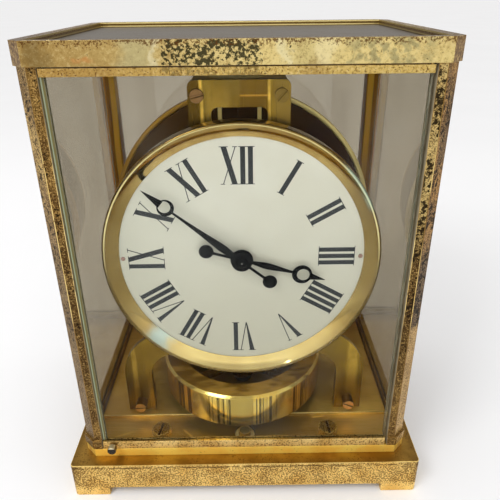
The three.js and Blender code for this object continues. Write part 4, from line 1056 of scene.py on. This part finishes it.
# Turned pieces
def pendulum_ring():
    """Flat ring with a bevel round its top."""
    bottom, top, outer = axis_span("pendulum_ring", Z_AXIS)
    bevel = 1.3 * MM
    inner = outer - 11 * MM
    rings = [(inner, bottom), (outer, bottom), (outer, top - bevel), (outer - bevel, top), (inner, top)]
    turned_piece("pendulum_ring", rings, Z_AXIS, RING_EDGE)


def drum_housing():
    """Shell with a rim in front and a ledge inside it, narrower to the back."""
    front, back, outer = axis_span("drum_housing", Y_AXIS)
    wall = 2.2 * MM
    inner = outer - wall
    seat = inner - 2.5 * MM
    ledge = (front + 3 * MM, front + 5 * MM)
    rim = front + 4 * MM
    shoulder = front + 5 * MM
    inner_shoulder = front + 7 * MM
    floor = back - wall
    taper = 6.5 * MM
    rings = [
        (inner, front), (outer, front), (outer, rim), (outer - taper / 4, shoulder),
        (outer - taper, floor), (inner - taper, back), (0, back), (0, floor), (inner - taper, floor),
        (inner - taper / 4, inner_shoulder),
        (inner, ledge[1]), (seat, ledge[1]), (seat, ledge[0]), (inner, ledge[0]),
    ]
    turned_piece("drum_housing", rings, Y_AXIS, DRUM_EDGE)


def dial_bezel():
    """Rounded lip, a groove, and a wide hollow slope down to the dial."""
    front, back, outer = axis_span("dial_bezel", Y_AXIS)
    lip = 1.5 * MM
    lip_steps = 8
    groove = 0.5 * MM
    inner = outer - 7 * MM
    seat = outer - 3.4 * MM
    slope_start = front + 0.8 * MM
    slope_end = front + 4.7 * MM
    slope_steps = 10
    hollow = 0.35 * MM
    dial_front = low("dial_plate").y - 0.3 * MM
    rings = [(seat, back), (outer, back), (outer, front + lip / 2)]
    for i in range(1, lip_steps):
        angle = math.pi / 2 * i / lip_steps
        rings.append((outer - lip / 2 * (1 - math.cos(angle)), front + lip / 2 * (1 - math.sin(angle))))
    rings += [(outer - lip / 2, front), (outer - lip, front + groove)]
    for i in range(slope_steps + 1):
        share = i / slope_steps
        radius = outer - lip + (inner - outer + lip) * share
        depth = slope_start + (slope_end - slope_start) * share
        rings.append((radius, depth + hollow * math.sin(math.pi * share)))
    rings += [(inner, dial_front), (seat, dial_front)]
    turned_piece("dial_bezel", rings, Y_AXIS, 0)


def dial_plate():
    """Disc with a hole for the arbor."""
    front, back, outer = axis_span("dial_plate", Y_AXIS)
    bore = 3.2 * MM
    rings = [(bore, front), (outer, front), (outer, back), (bore, back)]
    turned_piece("dial_plate", rings, Y_AXIS, THIN_EDGE)


def suspension_cap():
    bottom, top, outer = axis_span("suspension_cap", Z_AXIS)
    turned_piece("suspension_cap", [(0, bottom), (outer, bottom), (outer, top), (0, top)], Z_AXIS)


def bubble_level():
    """Round level: a pale flange, a darker cup, and liquid in the cup's well."""
    bottom, top, outer = axis_span("bubble_level", Z_AXIS)
    flange = bottom + 1.1 * MM
    cup = outer - 1.8 * MM
    well = cup - 0.7 * MM
    depth = 0.5 * MM
    rings = [(0, bottom), (outer, bottom), (outer, flange), (cup, flange), (cup, top),
             (well, top), (well, top - depth), (0, top - depth)]
    turned_piece("bubble_level", rings, Z_AXIS, sides=SMALL_SIDES * 2)
    rings = [(0, top - depth), (well, top - depth), (well, top - depth / 2), (0, top - depth / 2)]
    data = turned_mesh("level_liquid", rings, "bubble_level", Z_AXIS, SMALL_SIDES)
    finish_edges(add_piece("level_liquid", data, "bubble_level", "liquid", "clear_glass"), 0)


bubble_level()
pendulum_ring()
drum_housing()
dial_bezel()
dial_plate()
suspension_cap()


class FlatForm:
    """Flat pieces that face the front: outlines are in millimetres out from an origin, and across."""

    def __init__(self, origin, turn):
        self.form = bmesh.new()
        self.origin = origin
        self.out = Vector((math.sin(turn), 0, math.cos(turn)))
        self.across = Vector((math.cos(turn), 0, -math.sin(turn)))

    def loop(self, outline, depth):
        points = [self.origin + (self.out * out + self.across * across) * MM for out, across in outline]
        return [self.form.verts.new((point.x, depth, point.z)) for point in points]

    def band(self, first, second):
        for i in range(len(first)):
            j = (i + 1) % len(first)
            self.form.faces.new((first[j], first[i], second[i], second[j]))

    def prism(self, outline, front, back):
        near_side = self.loop(outline, front)
        far_side = self.loop(outline, back)
        self.form.faces.new(near_side)
        self.form.faces.new(far_side[::-1])
        self.band(near_side, far_side)

    def pierced(self, outline, hole, front, back):
        """A prism with a hole; outline and hole have the same number of points."""
        loops = [self.loop(outline, front), self.loop(hole, front)]
        loops += [self.loop(hole, back), self.loop(outline, back)]
        for first, second in zip(loops, loops[1:] + loops[:1]):
            self.band(first, second)


# Hands: leaf, ring with its hole towards the tip, dart, and a tail with a disc, in millimetres from the arbor
HOUR_TURN = math.radians(105.7)
MINUTE_TURN = math.radians(309.2)
LEAF_STEPS = 8
HAND_SIDES = 64
HOUR_HAND = {
    "leaf": ((4.0, 0.6), (7.4, 1.1), (11.8, 1.65), (16.5, 1.35), (21.0, 0.85), (25.6, 0.55)),
    "ring": (29.3, 4.75),
    "bore": (29.9, 3.0),
    "dart": (33.0, 1.8),
    "length": 40.8,
    "tail": (-17.0, 3.4),
    "stem": 0.65,
    "steps": ((5.3, 0.0), (5.3, 0.5)),
}
MINUTE_HAND = {
    "leaf": ((3.6, 1.0), (7.0, 1.6), (11.5, 1.9), (17.0, 1.55), (24.0, 1.05), (32.0, 0.65), (39.4, 0.42)),
    "ring": (42.8, 3.85),
    "bore": (43.45, 2.8),
    "dart": (45.4, 1.9),
    "length": 55.9,
    "tail": (-16.8, 3.4),
    "stem": 0.65,
    "steps": ((4.8, 0.0), (4.8, 0.7), (4.2, 1.0), (2.9, 1.0), (2.6, 1.5), (2.0, 2.1)),
}
# Depths: the back of each blade, the blade's thickness, and the tip of the pin in front
HOUR_BACK = low("dial_plate").y - 2.8 * MM
MINUTE_BACK = HOUR_BACK - 1.9 * MM
BLADE = 0.5 * MM
PIN_TIP = MINUTE_BACK - 2.4 * MM


def smooth_stations(stations):
    """More stations on a smooth curve through the given ones."""
    points = [stations[0], *stations, stations[-1]]
    out = []
    for i in range(1, len(points) - 2):
        before, here, there, after = (Vector(p) for p in points[i - 1:i + 3])
        for k in range(LEAF_STEPS):
            t = k / LEAF_STEPS
            out.append(0.5 * (
                2 * here + (there - before) * t
                + (2 * before - 5 * here + 4 * there - after) * t ** 2
                + (3 * here - before - 3 * there + after) * t ** 3
            ))
    out.append(Vector(stations[-1]))
    return out


def disc_outline(place, radius):
    angles = [2 * math.pi * i / HAND_SIDES for i in range(HAND_SIDES)]
    return [(place + radius * math.cos(angle), radius * math.sin(angle)) for angle in angles]


def hand(node, shape, turn, back):
    """A flat pierced hand with a stepped hub in front of it."""
    leaf = smooth_stations(shape["leaf"])
    root, half = shape["dart"]
    tail, tail_radius = shape["tail"]
    stem = shape["stem"]
    stem_end = tail + tail_radius / 2
    outlines = (
        [(out, side) for out, side in leaf] + [(out, -side) for out, side in reversed(leaf)],
        [(root, half), (shape["length"], 0), (root, -half)],
        [(0, stem), (stem_end, stem), (stem_end, -stem), (0, -stem)],
        disc_outline(tail, tail_radius),
    )
    flat = FlatForm(middle("dial_plate"), turn)
    for outline in outlines:
        flat.prism(outline, back - BLADE, back)
    flat.pierced(disc_outline(*shape["ring"]), disc_outline(*shape["bore"]), back - BLADE, back)
    piece = add_piece(node + "_look", closed_mesh(flat.form, node + "_look"), node)
    finish_edges(piece, THIN_EDGE, 1)
    rings = [(0, back)] + [(radius * MM, back - rise * MM) for radius, rise in shape["steps"]]
    rings.append((0, rings[-1][1]))
    hub_data = turned_mesh(node + "_hub", rings, "dial_plate", Y_AXIS, SMALL_SIDES * 2)
    finish_edges(add_piece(node + "_hub", hub_data, node), THIN_EDGE)
    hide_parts(node)


def hand_pin():
    """Thin pin with a bevelled tip on the minute hand's hub."""
    radius = 0.4 * MM
    tip_radius = 0.25 * MM
    bevel = 0.2 * MM
    rings = [(0, PIN_TIP), (tip_radius, PIN_TIP), (radius, PIN_TIP + bevel)]
    rings += [(radius, MINUTE_BACK), (0, MINUTE_BACK)]
    data = turned_mesh("hand_pin", rings, "dial_plate", Y_AXIS, SMALL_SIDES)
    finish_edges(add_piece("hand_pin", data, "minute_hand", "steel", "polished_brass"), 0)


hand("hour_hand", HOUR_HAND, HOUR_TURN, HOUR_BACK)
hand("minute_hand", MINUTE_HAND, MINUTE_TURN, MINUTE_BACK)
hand_pin()


# Numerals, in millimetres: thick stems, hair strokes and thin serifs, with their feet to the dial's centre
NUMERALS = ("XII", "I", "II", "III", "IIII", "V", "VI", "VII", "VIII", "IX", "X", "XI")
NUMERAL_OUTER = 53.1
NUMERAL_INNER = 36.1
NUMERAL_HEIGHT = NUMERAL_OUTER - NUMERAL_INNER
NUMERAL_RAISE = 0.06
LAYER_RAISE = 0.002
LETTER_GAP = 1.2
LETTER_WIDTH = {"I": 2.15, "V": 7.15, "X": 7.15}
THICK = {"I": 2.15, "V": 2.365, "X": 2.408}
HAIR = 0.418
SERIF = 0.3
HEAD_SERIF = NUMERAL_HEIGHT - SERIF
SERIF_REACH = 0.75
# Where the strokes of V meet, and the inset of the hair stroke of X
V_FOOT = 3.861
V_FOOT_WIDTH = 0.45
V_HAIR_SHIFT = 0.1
X_INSET = 0.6
# The short serifs of hair strokes: how far they reach out of the letter, and in from its side
X_FOOT_OUT = 0.4
X_FOOT_IN = 1.6
X_HEAD_IN = 2.1
V_HEAD_OUT = 0.6
V_HEAD_IN = 1.5
# How far the ring of numerals is printed off the dial's centre, and each numeral off its place round it
RING_ASIDE = -0.2
RING_DROP = 0.25
NUMERAL_NUDGES = (-1.2, -0.35, -0.3, -0.3, -0.4, -0.2, -0.65, -0.8, -1.35, 0.3, -0.85, -1.2)


def stroke(foot, foot_width, head, head_width):
    """A stroke over the whole height with level ends, as points (across, up)."""
    top = NUMERAL_HEIGHT
    return [(foot, 0), (foot + foot_width, 0), (head + head_width, top), (head, top)]


def serif(left, right, up=0):
    """A thin level stroke at the foot of a letter, or at its head with 'up' at HEAD_SERIF."""
    return [(left, up), (right, up), (right, up + SERIF), (left, up + SERIF)]


def letter_strokes(letter, left):
    """The strokes of a letter that starts at 'left', and its serifs."""
    right = left + LETTER_WIDTH[letter]
    thick = THICK[letter]
    over_left = left - SERIF_REACH
    over_right = right + SERIF_REACH
    if letter == "I":
        return [
            stroke(left, thick, left, thick),
            serif(over_left, over_right),
            serif(over_left, over_right, HEAD_SERIF),
        ]
    if letter == "X":
        return [
            stroke(right - thick, thick, left, thick),
            stroke(left + X_INSET, HAIR, right - HAIR - X_INSET, HAIR),
            serif(right - thick - SERIF_REACH, over_right),
            serif(over_left, left + thick + SERIF_REACH, HEAD_SERIF),
            serif(left - X_FOOT_OUT, left + X_FOOT_IN),
            serif(right - X_HEAD_IN, right, HEAD_SERIF),
        ]
    return [
        stroke(left + V_FOOT, V_FOOT_WIDTH, left, thick),
        stroke(left + V_FOOT + V_HAIR_SHIFT, HAIR, right - HAIR, HAIR),
        serif(over_left, left + thick + V_HEAD_OUT, HEAD_SERIF),
        serif(right - V_HEAD_IN, right + V_HEAD_OUT, HEAD_SERIF),
    ]


def numeral_strokes(text):
    width = sum(LETTER_WIDTH[letter] for letter in text) + LETTER_GAP * (len(text) - 1)
    left = -width / 2
    strokes = []
    for letter in text:
        strokes += letter_strokes(letter, left)
        left += LETTER_WIDTH[letter] + LETTER_GAP
    return strokes


def add_numeral(index, text):
    """A numeral as thin printed strokes, each a little above the last one."""
    face = low("dial_plate").y
    flat = FlatForm(middle("dial_plate"), 2 * math.pi * index / len(NUMERALS))
    flat.origin += (X_AXIS * RING_ASIDE - Z_AXIS * RING_DROP + flat.across * NUMERAL_NUDGES[index]) * MM
    for layer, points in enumerate(numeral_strokes(text)):
        outline = [(NUMERAL_INNER + up, across) for across, up in points]
        flat.prism(outline, face - (NUMERAL_RAISE + LAYER_RAISE * layer) * MM, face)
    data = closed_mesh(flat.form, "numeral_%02d" % (index or 12))
    add_piece(data.name, data, "dial_plate", "ink", "black_paint")


for numeral_index, numeral_text in enumerate(NUMERALS):
    add_numeral(numeral_index, numeral_text)


# Stage: a pale floor, soft daylight from the front and above, and one soft lamp
FLOOR_SIZE = 40.0
FLOOR_DROP = 0.1 * MM
ROOM_LIGHT = 0.6
SKY_LIGHT = 0.4
WINDOW_LIGHT = 0.75
LAMP_PLACE = Vector((-0.5, -0.6, 0.9))
LAMP_TARGET = Vector((0, 0, 0.1))
LAMP_SIZE = 0.4
LAMP_POWER = 4


def add_floor():
    form = bmesh.new()
    bmesh.ops.create_grid(form, x_segments=1, y_segments=1, size=FLOOR_SIZE)
    data = bpy.data.meshes.new("floor")
    form.to_mesh(data)
    form.free()
    floor = bpy.data.objects.new("floor", data)
    floor.location.z = -FLOOR_DROP
    bpy.context.scene.collection.objects.link(floor)
    look = painted("floor_paper", (251, 252, 255), (249, 250, 253), 0.9, 0.3)
    look.set(Specular_IOR_Level=0.0)
    floor.data.materials.append(look.material)


def add_lamp():
    data = bpy.data.lights.new("lamp_key", "AREA")
    data.shape = "RECTANGLE"
    data.size = LAMP_SIZE
    data.size_y = LAMP_SIZE
    data.energy = LAMP_POWER
    lamp = bpy.data.objects.new("lamp_key", data)
    lamp.location = LAMP_PLACE
    lamp.rotation_euler = (LAMP_TARGET - LAMP_PLACE).to_track_quat("-Z", "Y").to_euler()
    bpy.context.scene.collection.objects.link(lamp)


def add_world():
    """Even room light, brighter overhead and through a wide window in front."""
    world = bpy.data.worlds.new("studio")
    bpy.context.scene.world = world
    world.use_nodes = True
    graph = Graph(world.node_tree)
    along_y, up = graph.split(graph.coordinates["Generated"])[1:]
    ahead = graph.times(along_y, -1.0)
    sky = graph.times(graph.ease(up, 0.3, 0.95), SKY_LIGHT)
    window = graph.times(graph.ease(ahead, 0.35, 0.85), graph.near(up, 0.3, 0.22, 0.15), WINDOW_LIGHT)
    background = world.node_tree.nodes["Background"]
    background.inputs["Color"].default_value = (1, 0.985, 0.96, 1)
    graph.put(background.inputs["Strength"], graph.add(sky, window, ROOM_LIGHT))


add_camera()
add_floor()
add_world()
add_lamp()
bpy.context.scene.view_settings.view_transform = "Standard"
